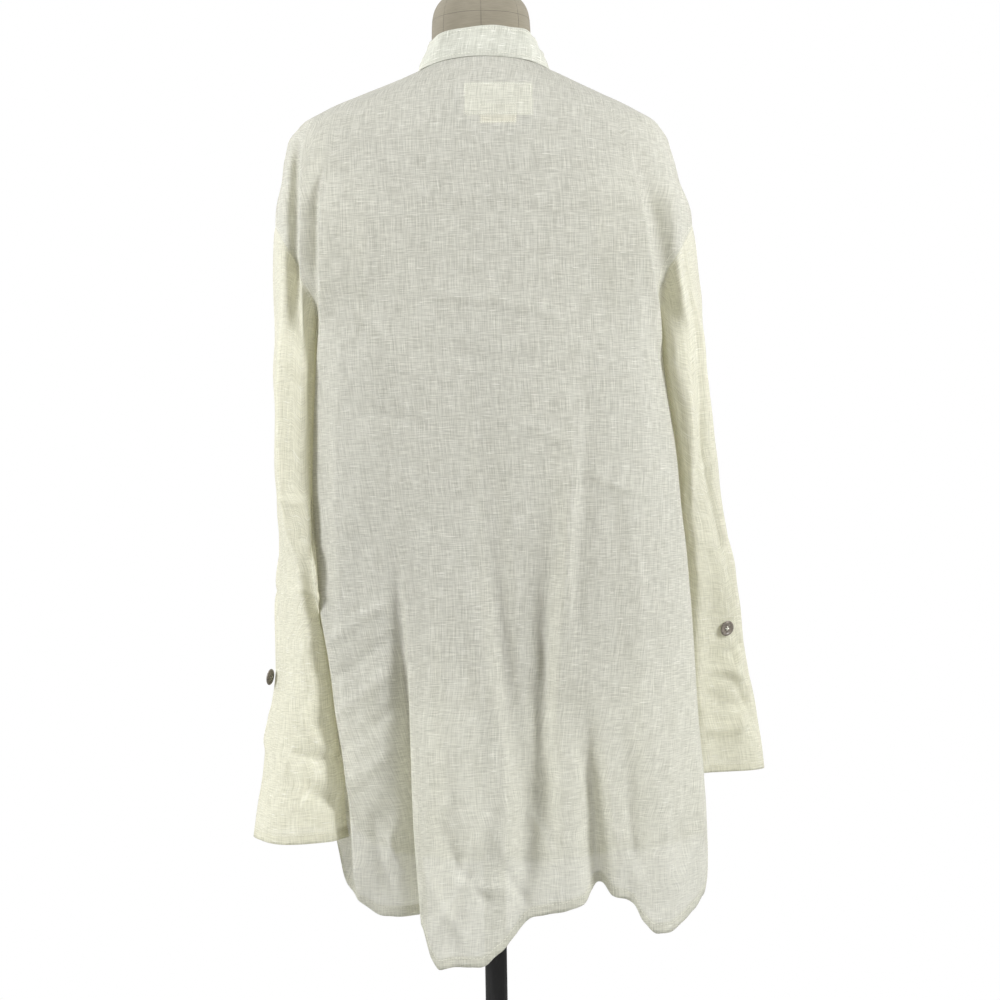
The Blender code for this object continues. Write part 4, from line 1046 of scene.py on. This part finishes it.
def add_world():
    """White to the eye; its light is strong from above and from the garment's back."""
    nodes = Nodes(bpy.data.worlds.new("studio"))
    towards = nodes.add("SeparateXYZ", {"Vector": nodes.add("TexCoord")["Generated"]})
    strength = nodes.times(
        nodes.ramp(towards["Z"], -0.7, 0.9, WORLD_LOW, WORLD_HIGH),
        nodes.ramp(towards["Y"], -0.8, 0.8, WORLD_FRONT, 1.0),
    )
    light = nodes.add("Background", {"Color": (1.0, 1.0, 0.99, 1.0), "Strength": strength})[0]
    white = nodes.add("Background", {"Color": (1.0, 1.0, 1.0, 1.0), "Strength": 1.0})[0]
    seen = nodes.add("LightPath")["Is Camera Ray"]
    bpy.context.scene.world = nodes.finish(nodes.mixed(seen, light, white), "OutputWorld")
    bpy.context.scene.view_settings.view_transform = "Standard"


def add_stage():
    add_world()
    work = bmesh.new()
    bmesh.ops.create_circle(work, cap_ends=True, segments=96, radius=FLOOR_RADIUS)
    mesh = mesh_of("floor", work)
    mesh.materials.append(floor_material("pale_floor"))
    link("floor", mesh)
    for light in LIGHTS:
        add_light(*light)


# ------------------------------------------------------------------ the tunic
def with_normals(panels):
    """The panels, and under the name normals the normals of each."""
    level = np.array([1.0, 1.0, 0.0])
    normals = {name: grid_normals(grid, unit(grid * level)) for name, grid in panels.items()}
    return {**panels, "normals": normals}


def build_panels(flat, cloth, form):
    """The back and the front, doubled over along their fold edges and clear of the form."""
    panels = with_normals({
        name: form.clear(draped(flat[name]), FORM_GAP) for name in ("back", "left", "right")
    })
    hemmed = {name: with_hem(panels[name], grid) for name, grid in panels["normals"].items()}
    shoulder = len(HEM_PROFILE) + SKIRT_ROWS + ARMHOLE_ROWS
    thread = level_threads(hemmed["back"], BACK_COLUMNS // 2, shoulder)
    add_grid("tunic_back", hemmed["back"], cloth, thread, ["back"])
    halves = []
    for name, sign in (("left", 1), ("right", -1)):
        thread = level_threads(hemmed[name], HALF_FRONT_COLUMNS, shoulder)
        halves.append((hemmed[name], thread * (sign, 1, 1), sign > 0))
    add_layers("tunic_front", halves, cloth, ["front"], merge=1e-6)
    return panels


def plain_panels():
    """The panels before they double over along the fold edges."""
    middle = -math.pi / 2
    front = (slit_cut, HALF_FRONT_COLUMNS, FRONT_EDGE)
    return with_normals({
        "back": panel_grid((0.0, math.pi), armhole_cut, BACK_COLUMNS, BACK_EDGE),
        "left": panel_grid((0.0, middle), *front),
        "right": panel_grid((-math.pi, middle), *front),
    })


def armhole_ring(panels, left_side):
    """The armhole's edge from the shoulder seam's end, down its back and up its front."""
    low, high = SKIRT_ROWS, SKIRT_ROWS + ARMHOLE_ROWS
    name, edge, inward = ("left", 0, 1) if left_side else ("right", -1, -2)

    def ring(grids, back_column, front_column):
        down = grids["back"][high:low:-1, back_column]
        return np.vstack([down, grids[name][low:high, front_column]])

    points, normals = ring(panels, edge, 0), ring(panels["normals"], edge, 0)
    inner = ring(panels, inward, 1)
    tangent = unit(np.roll(points, -1, axis=0) - np.roll(points, 1, axis=0))
    away = unit(np.cross(normals, tangent))
    away *= np.where(np.sum(away * (points - inner), axis=1) < 0, -1.0, 1.0)[:, None]
    away[0] *= -np.sign(away[0, 2])
    away[ARMHOLE_ROWS] *= np.sign(away[ARMHOLE_ROWS, 2])
    return points, normals, away


def read_down(sections, name, height):
    """A table's values where its heights run downwards."""
    return smooth_table([-section.height for section in sections], column(sections, name), -height)


def section_rings(sections, side, turns, heights):
    """A sleeve's sections at many heights."""
    x, y, wide, deep, turn = (
        read_down(sections, name, heights)[:, None] for name in ("x", "y", "wide", "deep", "turn")
    )
    across = wide * power(np.cos(turns), 2 / SLEEVE_SQUARE)
    deep = deep * power(np.sin(turns), 2 / SLEEVE_SQUARE)
    slant = np.radians(turn)
    x = x + side * (across * np.cos(slant) - deep * np.sin(slant))
    y = y + deep * np.cos(slant) + across * np.sin(slant)
    return np.stack([x, y, np.broadcast_to(heights[:, None], x.shape)], axis=-1)


def sleeve_cap(panels, side, turns, first):
    """The sleeve's top, on curves that leave the armhole and run down into its first section."""
    start, normals, away = armhole_ring(panels, side > 0)
    lap = np.clip((1 - np.cos(turns) - np.sin(turns)) / 2, 0, 1)[:, None]
    start = start + normals * LAYER * lap
    leave = unit(away + (0.3 + 0.5 * lap) * np.array([side, 0.0, 0.0])) * SLEEVE_LEAVES
    fall = np.array([0.0, 0.0, -SLEEVE_FALLS])
    share = np.linspace(0, 1, SLEEVE_CAP_ROWS + 1)[:, None, None]
    square, cube = share**2, share**3
    return (
        start * (2 * cube - 3 * square + 1) + leave * (cube - 2 * square + share)
        + first * (3 * square - 2 * cube) + fall * (cube - square)
    )


def sleeve_grid(panels, sleeve, body):
    """A sleeve's points from its cuff up to the armhole, and their normals."""
    side, sections = sleeve.side, sleeve.sections
    turns = 2 * math.pi * np.arange(2 * ARMHOLE_ROWS) / (2 * ARMHOLE_ROWS)
    heights = np.linspace(sections[0].height, sections[-1].height, SLEEVE_ROWS + 1)
    rings = section_rings(sections, side, turns, heights)
    grid = np.vstack([sleeve_cap(panels, side, turns, rings[0]), rings[1:]])
    reach = grid - grid.mean(axis=1, keepdims=True)
    reach[..., 2] = 0
    normals = grid_normals(grid, reach, closed=True)
    turn, height = np.degrees(turns)[None, :], grid[..., 2]
    creases = [
        crease._replace(x0=crease.x0 * TURN_WIDE, x1=crease.x1 * TURN_WIDE)
        for crease in sleeve.creases
    ]
    moved = sum(creased((turn + shift) * TURN_WIDE, height, creases) for shift in (-360, 0, 360))
    round_turn = np.radians(turn)
    across, up = SLEEVE_ROUND * np.cos(round_turn), SLEEVE_ROUND * np.sin(round_turn)
    moved = moved + rumple(across, height + up, 21 + (side > 0), 34, 0.5)
    fade = ease(np.arange(len(grid)) / CAP_SMOOTH_ROWS)[:, None]
    grid = grid + normals * (moved * fade)[..., None]
    middle = read_down(sections, "y", height)
    grid = draped(grid, middle * ease((UNDERARM + 40 - height) / 60))
    grid = against_body(grid, turns, side)
    grid = body.clear(grid, BODY_GAP, ease((CLEAR_TOP - grid[..., 2]) / 12))
    grid = under_button(grid, *button_plane(sleeve.button, sleeve.centre))
    return grid[::-1], grid_normals(grid[::-1], reach[::-1], closed=True)


def against_body(grid, turns, side):
    """The sleeve's inner wall, hanging slack against the body below the underarm."""
    height = grid[..., 2]
    near = ease((SLACK_TOP - height) / 24) * ease((height - SLACK_FOOT) / 90)
    inner = np.exp(-(((np.degrees(turns)[None, :] - SLACK_TURN) / SLACK_WIDE) ** 2))
    grid = grid.copy()
    grid[..., 0] -= side * SLACK * near * inner
    return grid


def under_button(grid, back, facing):
    """The sleeve's cloth, flat behind the button that is tied onto it."""
    above = (grid - back) @ facing
    aside = np.linalg.norm(grid - back - above[..., None] * facing, axis=-1)
    rise = above + BUTTON_GAP
    near = ease((BUTTON_PRESS - aside) / 8) * (np.abs(rise) < BUTTON_PRESS)
    return grid - facing * (np.maximum(rise, 0) * near)[..., None]


def build_sleeve(panels, sleeve, cloth, body):
    grid, normals = sleeve_grid(panels, sleeve, body)
    closed = ringed(with_hem(grid, normals))
    held = len(closed) - SLEEVE_CAP_ROWS
    thread = threads(closed, grid.shape[1] // 2, 0, held)
    add_grid(sleeve.name + "_cloth", closed, cloth, thread, [sleeve.name], sleeve.side < 0)
    return grid, normals


def ringed(grid):
    """A closed grid with its first column once more after its last."""
    return np.concatenate([grid, grid[:, :1]], axis=1)


def neckline(grids):
    """The top row of three panels, or of their normals, from one end of the neck to the other."""
    return np.vstack([grids["left"][-1, :0:-1], grids["back"][-1, :-1], grids["right"][-1]])


def build_collar(panels, cloth, form):
    """The collar's doubled band, and the points and normals of its outer layer."""
    foot, lift = neckline(panels), neckline(panels["normals"])
    level = BODY[-1]
    wide = np.where(foot[:, 0] > 0, level.wide_left, level.wide_right)
    deep = np.where(foot[:, 1] > 0, level.deep_back, level.deep_front)
    degrees = np.degrees(np.arctan2(foot[:, 1] / deep, foot[:, 0] / wide))
    degrees = np.where(degrees < -90, degrees + 360, degrees)
    top = np.stack([read(COLLAR, "angle", name, degrees) for name in ("x", "y", "z")], axis=1)
    foot = foot + lift * 0.6
    share = np.linspace(0, 1, COLLAR_ROWS + 1)[:, None, None]
    bow = np.sin(math.pi * np.minimum(1.0, share / ROLL_ENDS)) * (1 - share)
    grid = foot + (top - foot) * share + lift * COLLAR_ROLL * bow
    reach = grid - np.array([0, -8, 0])
    reach[..., 2] = 0
    normals = grid_normals(grid, unit(reach))
    place = -lengths(top)[None, :]
    height = COLLAR_HEIGHT * share[..., 0]
    grid = grid + normals * rumple(place, height, 31, 30, 0.5)[..., None]
    uneven = rumple(place, np.zeros((1, 1)), 33, 22, 0.7)
    grid[..., 2] += (height / COLLAR_HEIGHT) ** 2 * uneven
    grid = form.clear(grid, FORM_GAP + COLLAR_THICK)
    inside = grid[::-1] - normals[::-1] * COLLAR_THICK
    edge = grid[-1:] - normals[-1:] * COLLAR_THICK / 2 + np.array([0, 0, 0.35])
    whole = np.vstack([grid, edge, inside])
    add_grid("collar_band", whole, cloth, threads(whole, whole.shape[1] // 2), ["collar"])
    return grid, normals


def sewn(name, lines, material, **settings):
    """One object of all the stitches along several lines of (points, normals)."""
    dashes = [dash for line in lines for dash in stitches(*line, **settings)]
    add_mesh(name, *join(dashes), material)


def seam_lines(panels, thread):
    """Stitched lines on the outside, one for each seam and hem of the panels."""
    lines = [
        (column_points(panels[name], [HEM_STITCH])[0], normals[2])
        for name, normals in panels["normals"].items()
    ]
    back, turned = panels["back"].transpose(1, 0, 2), panels["normals"]["back"]
    for from_end, place in ((False, 3), (True, -4)):
        edge = column_points(back, [FELL_STITCH], from_end)[0]
        lines.append((edge[SEAM_START:], turned[SEAM_START:, place]))
    sewn("stitches_panels", lines, thread)


def felled_seams(panels, cloth):
    """The inner layer of each felled seam, along both edges of the back."""
    back, turned = (
        grid.transpose(1, 0, 2) for grid in (panels["back"], panels["normals"]["back"])
    )
    layers = []
    for from_end in (False, True):
        strip = column_points(back, FELL_LINES, from_end)
        lift = turned[-1:] if from_end else turned[:1]
        grid = (strip - lift * FELL_INSIDE)[:, SEAM_START:]
        layers.append((grid, threads(grid), from_end))
    add_layers("felled_seams", layers, cloth)


def patch_lines(grid, normals, centre):
    """The stitched rectangle round a button, as four lines of (points, normals)."""
    far = np.linalg.norm(grid - np.array(centre), axis=2)
    row, place = np.unravel_index(np.argmin(far), far.shape)
    step = np.linalg.norm(grid[row, place] - grid[row, place - 1])
    rise = np.linalg.norm(grid[row, place] - grid[row + 1, place])
    half, tall = round(PATCH[0] / 2 / step), round(PATCH[1] / 2 / rise)
    span = np.arange(place - half, place + half + 1) % grid.shape[1]
    upright = slice(row - tall, row + tall + 1)
    edges = [(row - tall, span), (row + tall, span), (upright, span[0]), (upright, span[-1])]
    return [(grid[edge], normals[edge]) for edge in edges]


def sleeve_details(sleeve, grid, normals, cloth, thread):
    """The underarm seam's inner layer, and the stitches of the cuff, the seam and the armhole."""
    middle = grid.shape[1] // 2
    seam = (slice(2, None), slice(middle, middle + len(FELL_INSIDE)))
    strip, lift = grid[seam].transpose(1, 0, 2), normals[seam].transpose(1, 0, 2)
    inner = strip - lift * FELL_INSIDE
    add_grid(sleeve.name + "_seam", inner, cloth, threads(inner))
    closed, turned = ringed(grid), ringed(normals)
    row = int(np.argmin(np.abs(closed[:, 0, 2] - sleeve.tab_line)))
    outer = (slice(2, -4), middle + len(FELL_INSIDE) - 1)
    sewn("stitches_" + sleeve.name, [
        (column_points(closed, [HEM_STITCH])[0], turned[2]),
        (grid[outer], normals[outer]),
        (column_points(closed, [2.0], True)[0], turned[-2]),
        (closed[row], turned[row]),
        *patch_lines(grid, normals, sleeve.centre),
    ], thread)


def on_back(panels, across, height):
    """The back's points and normals at every pair of places across and heights."""
    both = np.concatenate([panels["back"], panels["normals"]["back"]], axis=2)
    upright = np.array([at_lengths(across, -row[:, 0], row) for row in both])
    found = np.stack([
        at_lengths(height, upright[:, place, 2], upright[:, place])
        for place in range(len(across))
    ], axis=1)
    return found[..., :3], unit(found[..., 3:])


def build_label(panels, name, label, depth, ribbon, thread):
    """A ribbon label inside the back, with its side edges turned under and stitched down."""
    across = label.across + label.wide * np.linspace(-0.5, 0.5, LABEL_COLUMNS)
    height = label.height + label.tall * np.linspace(-0.5, 0.5, LABEL_ROWS)
    points, normals = on_back(panels, across, height)
    place, down = (across - label.across)[None, :], (height - label.height)[:, None]
    sag = np.abs(rumple(place, down, 40 + depth, 22, 0.12))
    grid = points - normals * (depth * 0.35 + sag)[..., None]
    edges = (slice(0, LABEL_TURNED), slice(-LABEL_TURNED, None))
    layers = [grid] + [grid[:, edge] + normals[:, edge] * 0.1 for edge in edges]
    layers = [(layer, threads(layer), False) for layer in layers]
    add_layers(name + "_ribbon", layers, ribbon, [name], "label_cloth")
    every = slice(None)
    lines = [(points[edge], normals[edge]) for edge in (1, -2, (every, 1), (every, -2))]
    sewn("stitches_" + name, lines, thread, long=1.6, gap=0.7, radius=0.3)


def build_binding(panels, cloth, thread):
    """The strip of cloth round the neck slit, with its stitches."""
    first = int(np.argmax(panels["left"][:, -1, 0] - panels["right"][:, -1, 0] > SLIT_STARTS))

    def edge(name):
        grid, normals = panels[name][first:], panels["normals"][name][first:]
        return grid[:, -1], normals[:, -1], unit(grid[:, -4] - grid[:, -1])

    left, right = edge("left"), edge("right")
    turns = np.linspace(0, math.pi, 9)[1:-1]
    foot = np.tile((left[0][0] + right[0][0]) / 2, (len(turns), 1))
    foot_lift = np.tile(panels["normals"]["left"][first - 2, -1], (len(turns), 1))
    downwards = np.stack([np.cos(turns), np.zeros(len(turns)), -np.sin(turns)], axis=1)
    path, lift, out = (
        np.vstack([one[::-1], bend, other])
        for one, bend, other in zip(left, (foot, foot_lift, downwards), right)
    )
    grid = np.array([path + out * reach + lift * rise for reach, rise in BINDING_PROFILE])
    add_grid("slit_band", grid, cloth, threads(grid), ["slit_binding"], flip=True)
    lines = [(grid[4] - out * 4.2 + lift * 0.1, lift), (grid[5] + out * 1.4 + lift * 0.1, lift)]
    sewn("stitches_slit", lines, thread)


def build_form(canvas, seam_thread):
    """The form's solid, smoothed, with its cap seam and its upright seams, and its surface."""
    work = bmesh.new()
    work.from_mesh(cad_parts["form_torso"].data)
    bmesh.ops.remove_doubles(work, verts=work.verts, dist=1e-5)
    bmesh.ops.join_triangles(
        work, faces=work.faces, angle_face_threshold=math.pi, angle_shape_threshold=math.pi
    )
    crease = work.edges.layers.float.new("crease_edge")
    for edge in work.edges:
        if len(edge.link_faces) == 2 and edge.calc_face_angle(0.0) > 1.0:
            edge.smooth = False
        if not edge.smooth:
            edge[crease] = 1.0
    mesh = mesh_of("form_cover", work)
    mesh.materials.clear()
    mesh.materials.append(canvas)
    mesh.shade_smooth()
    made = declare(link("form_cover", mesh), ["form_torso"], "canvas")
    smooth = made.modifiers.new("smooth", "SUBSURF")
    smooth.levels = smooth.render_levels = 2
    bpy.context.view_layer.update()
    graph = bpy.context.evaluated_depsgraph_get()
    tree = BVHTree.FromObject(made, graph)
    parts = []
    for rays in form_seams():
        hits = [tree.ray_cast(Vector(start) * MM, Vector(aim))[:2] for start, aim in rays]
        found = np.array([(*hit, *normal) for hit, normal in hits if hit is not None])
        normals = found[:, 3:]
        parts.append(cord(found[:, :3] / MM - normals * 0.05, normals, 0.22))
    add_mesh("form_seams", *join(parts), seam_thread, slot="canvas")
    mesh = made.evaluated_get(graph).to_mesh()
    places = np.array([vertex.co for vertex in mesh.vertices]) / MM
    corners = [tuple(polygon.vertices) for polygon in mesh.polygons]
    return Surface(places, corners, np.array([polygon.normal for polygon in mesh.polygons]))


def inward_ray(degrees, reach, height):
    """A ray's start outside the form and its aim, level and towards the form's axis."""
    turn = math.radians(degrees)
    x, y = math.cos(turn), math.sin(turn)
    return (x * reach, y * reach, height), (-x, -y, 0)


def form_seams():
    """Rays that find each seam's line on the form."""
    yield [inward_ray(degrees, 200, CAP_SEAM) for degrees in np.linspace(0, 360, 73)]
    for degrees in FORM_SEAM_ANGLES:
        yield [inward_ray(degrees, 400, height) for height in np.linspace(*FORM_SEAM_SPAN, 120)]


def button_plane(name, cloth_centre):
    """The middle of the back of a button's node, and the direction it faces."""
    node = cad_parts[name]
    places = np.array([vertex.co for vertex in node.data.vertices]) / MM
    centre = (places.min(axis=0) + places.max(axis=0)) / 2
    facing = np.linalg.eigh(np.cov((places - places.mean(axis=0)).T))[1][:, 0]
    if facing @ (centre - np.array(cloth_centre)) < 0:
        facing = -facing
    return centre + facing * ((places - centre) @ facing).min(), facing


def turned_button(name):
    """A mesh of a button with a raised rim, lying on its back, with its four holes cut."""
    work = bmesh.new()
    turns = [2 * math.pi * corner / BUTTON_STEPS for corner in range(BUTTON_STEPS)]
    rings = [
        [work.verts.new((r * math.cos(turn), r * math.sin(turn), h)) for turn in turns]
        for r, h in BUTTON_PROFILE
    ]
    top, bottom = work.verts.new((0, 0, BUTTON_MIDDLE)), work.verts.new((0, 0, 0))
    after = [(i, (i + 1) % BUTTON_STEPS) for i in range(BUTTON_STEPS)]
    for low, high in zip(rings, rings[1:]):
        for i, j in after:
            work.faces.new((low[i], high[i], high[j], low[j]))
    for i, j in after:
        work.faces.new((top, rings[0][i], rings[0][j]))
        work.faces.new((bottom, rings[-1][j], rings[-1][i]))
    holes = bmesh.new()
    for x, y in BUTTON_HOLES:
        hole = bmesh.ops.create_cone(
            holes, cap_ends=True, segments=20, radius1=HOLE_RADIUS, radius2=HOLE_RADIUS, depth=8
        )
        bmesh.ops.translate(holes, verts=hole["verts"], vec=(x, y, 0))
    made = link(name, mesh_of(name, work))
    cutter = link(name + "_cutter", mesh_of(name + "_cutter", holes))
    cut = made.modifiers.new("holes", "BOOLEAN")
    cut.object, cut.solver = cutter, "EXACT"
    bpy.context.view_layer.update()
    graph = bpy.context.evaluated_depsgraph_get()
    mesh = bpy.data.meshes.new_from_object(made.evaluated_get(graph))
    for used in (cutter, made):
        bpy.data.objects.remove(used)
    return mesh


def button_threads(place, facing):
    """The crossed thread through the holes, three strands each way, on the placed button."""
    for low, high in ((0, 2), (1, 3)):
        start, end = np.array(BUTTON_HOLES[low]), np.array(BUTTON_HOLES[high])
        across = unit(end - start)
        for shift in (-0.32, 0.0, 0.32):
            aside = np.array([-across[1], across[0]]) * shift
            line = np.array([
                place @ Vector((*(start + (end - start) * run + aside), level + low * 0.25))
                for run, level in STRAND
            ]) / MM
            normal = np.cross(facing, unit(line[-1] - line[0]))
            yield cord(line, np.tile(normal, (len(line), 1)), 0.26)


def build_button(name, horn, thread, cloth_centre):
    """A turned button tied on with thread, on its node."""
    back, facing = button_plane(name, cloth_centre)
    upright = Vector(facing).to_track_quat("Z", "Y").to_matrix().to_4x4()
    place = Matrix.Translation(Vector(back) * MM) @ (upright @ Matrix.Scale(MM, 4))
    mesh = turned_button(name + "_turned")
    mesh.transform(place)
    mesh.name = name + "_turned"
    mesh.materials.clear()
    mesh.materials.append(horn)
    mesh.shade_smooth()
    made = declare(link(name + "_turned", mesh), [name], "horn")
    edges = made.modifiers.new("split", "EDGE_SPLIT")
    edges.split_angle = math.radians(40)
    add_mesh(name + "_thread", *join(button_threads(place, facing)), thread)


def cut_of(obj):
    """The size and the area of a piece's cut laid flat, from its points' places on the cloth."""
    mesh = obj.data
    places = np.zeros(len(mesh.vertices) * 3, np.float32)
    mesh.attributes["thread"].data.foreach_get("vector", places)
    places = places.reshape(-1, 3)[:, :2].astype(float)
    mesh.calc_loop_triangles()
    corners = np.zeros(len(mesh.loop_triangles) * 3, np.int32)
    mesh.loop_triangles.foreach_get("vertices", corners)
    first, second, third = places[corners.reshape(-1, 3)].transpose(1, 0, 2)
    one, two = second - first, third - first
    area = np.abs(one[:, 0] * two[:, 1] - one[:, 1] * two[:, 0]).sum() / 2
    wide, tall = np.ptp(places, axis=0)
    return (float(wide), float(tall)), min(float(area), float(wide * tall))


def declare_sheets():
    """Works out the size and area of each piece of cloth's cut laid flat, and looks up the pieces
    sewn to it; nothing is kept.
    """
    for name, held, rests_on, sewn_on in (
        ("tunic_back", "draped", ["form_cover"], ["felled_seams", "stitches_panels"]),
        ("tunic_front", "draped", ["form_cover"], []),
        ("sleeve_left_cloth", "hung", ["tunic_back", "tunic_front"],
         ["sleeve_left_seam", "stitches_sleeve_left"]),
        ("sleeve_right_cloth", "hung", ["tunic_back", "tunic_front"],
         ["sleeve_right_seam", "stitches_sleeve_right"]),
        ("collar_band", "draped", ["tunic_back", "tunic_front"], ["stitches_collar"]),
        ("slit_band", "draped", ["tunic_front"], ["stitches_slit"]),
    ):
        piece = bpy.data.objects[name]
        flat, area = cut_of(piece)
        [bpy.data.objects[other] for other in sewn_on]
        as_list(rests_on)


def main():
    add_camera()
    add_stage()
    sheer = linen("linen", colour(198, 198, 188), colour(236, 236, 228), 0.06, 0.42)
    # The sleeves are cut from the body's linen; their lighter, creamier colours here are painted
    # light, for the glow of light through the sleeves where no form is behind them.
    sleeve_linen_painted_glow = linen("linen_sleeve_painted_glow", colour(206, 205, 188), colour(240, 239, 225), 0.05, 0.36)
    doubled = linen("linen_doubled", colour(190, 191, 180), colour(224, 225, 215), 0.02, 0.2)
    ribbon = ribbon_material("label_ribbon", colour(246, 247, 244))
    cream_ribbon = ribbon_material("label_cream", colour(246, 236, 205))
    cotton = thread_material("cotton_thread", colour(243, 242, 230))
    metal = metal_material("black_satin")
    canvas = canvas_material("form_canvas")
    seam_thread = thread_material("form_seam", colour(92, 86, 74))
    horn = horn_material("button_horn")
    form = build_form(canvas, seam_thread)
    flat = plain_panels()
    panels = build_panels(flat, sheer, form)
    body = panels_surface(panels)
    felled_seams(panels, sheer)
    seam_lines(panels, cotton)
    grids = [build_sleeve(flat, sleeve, sleeve_linen_painted_glow, body) for sleeve in SLEEVES]
    for sleeve, (grid, normals) in zip(SLEEVES, grids):
        sleeve_details(sleeve, grid, normals, sleeve_linen_painted_glow, cotton)
    grid, normals = build_collar(panels, doubled, form)
    sewn("stitches_collar", [(grid[-3], normals[-3]), (grid[2], normals[2])], cotton)
    build_binding(panels, doubled, cotton)
    build_label(panels, "neck_label", LABEL_MAIN, 1, ribbon, cotton)
    build_label(panels, "size_tab", LABEL_SIZE, 2, cream_ribbon, cotton)
    for sleeve in SLEEVES:
        build_button(sleeve.button, horn, cotton, sleeve.centre)
    for name in ("pole", "stand_base"):
        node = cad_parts[name]
        node.data.materials.clear()
        node.data.materials.append(metal)
    declare_sheets()


main()
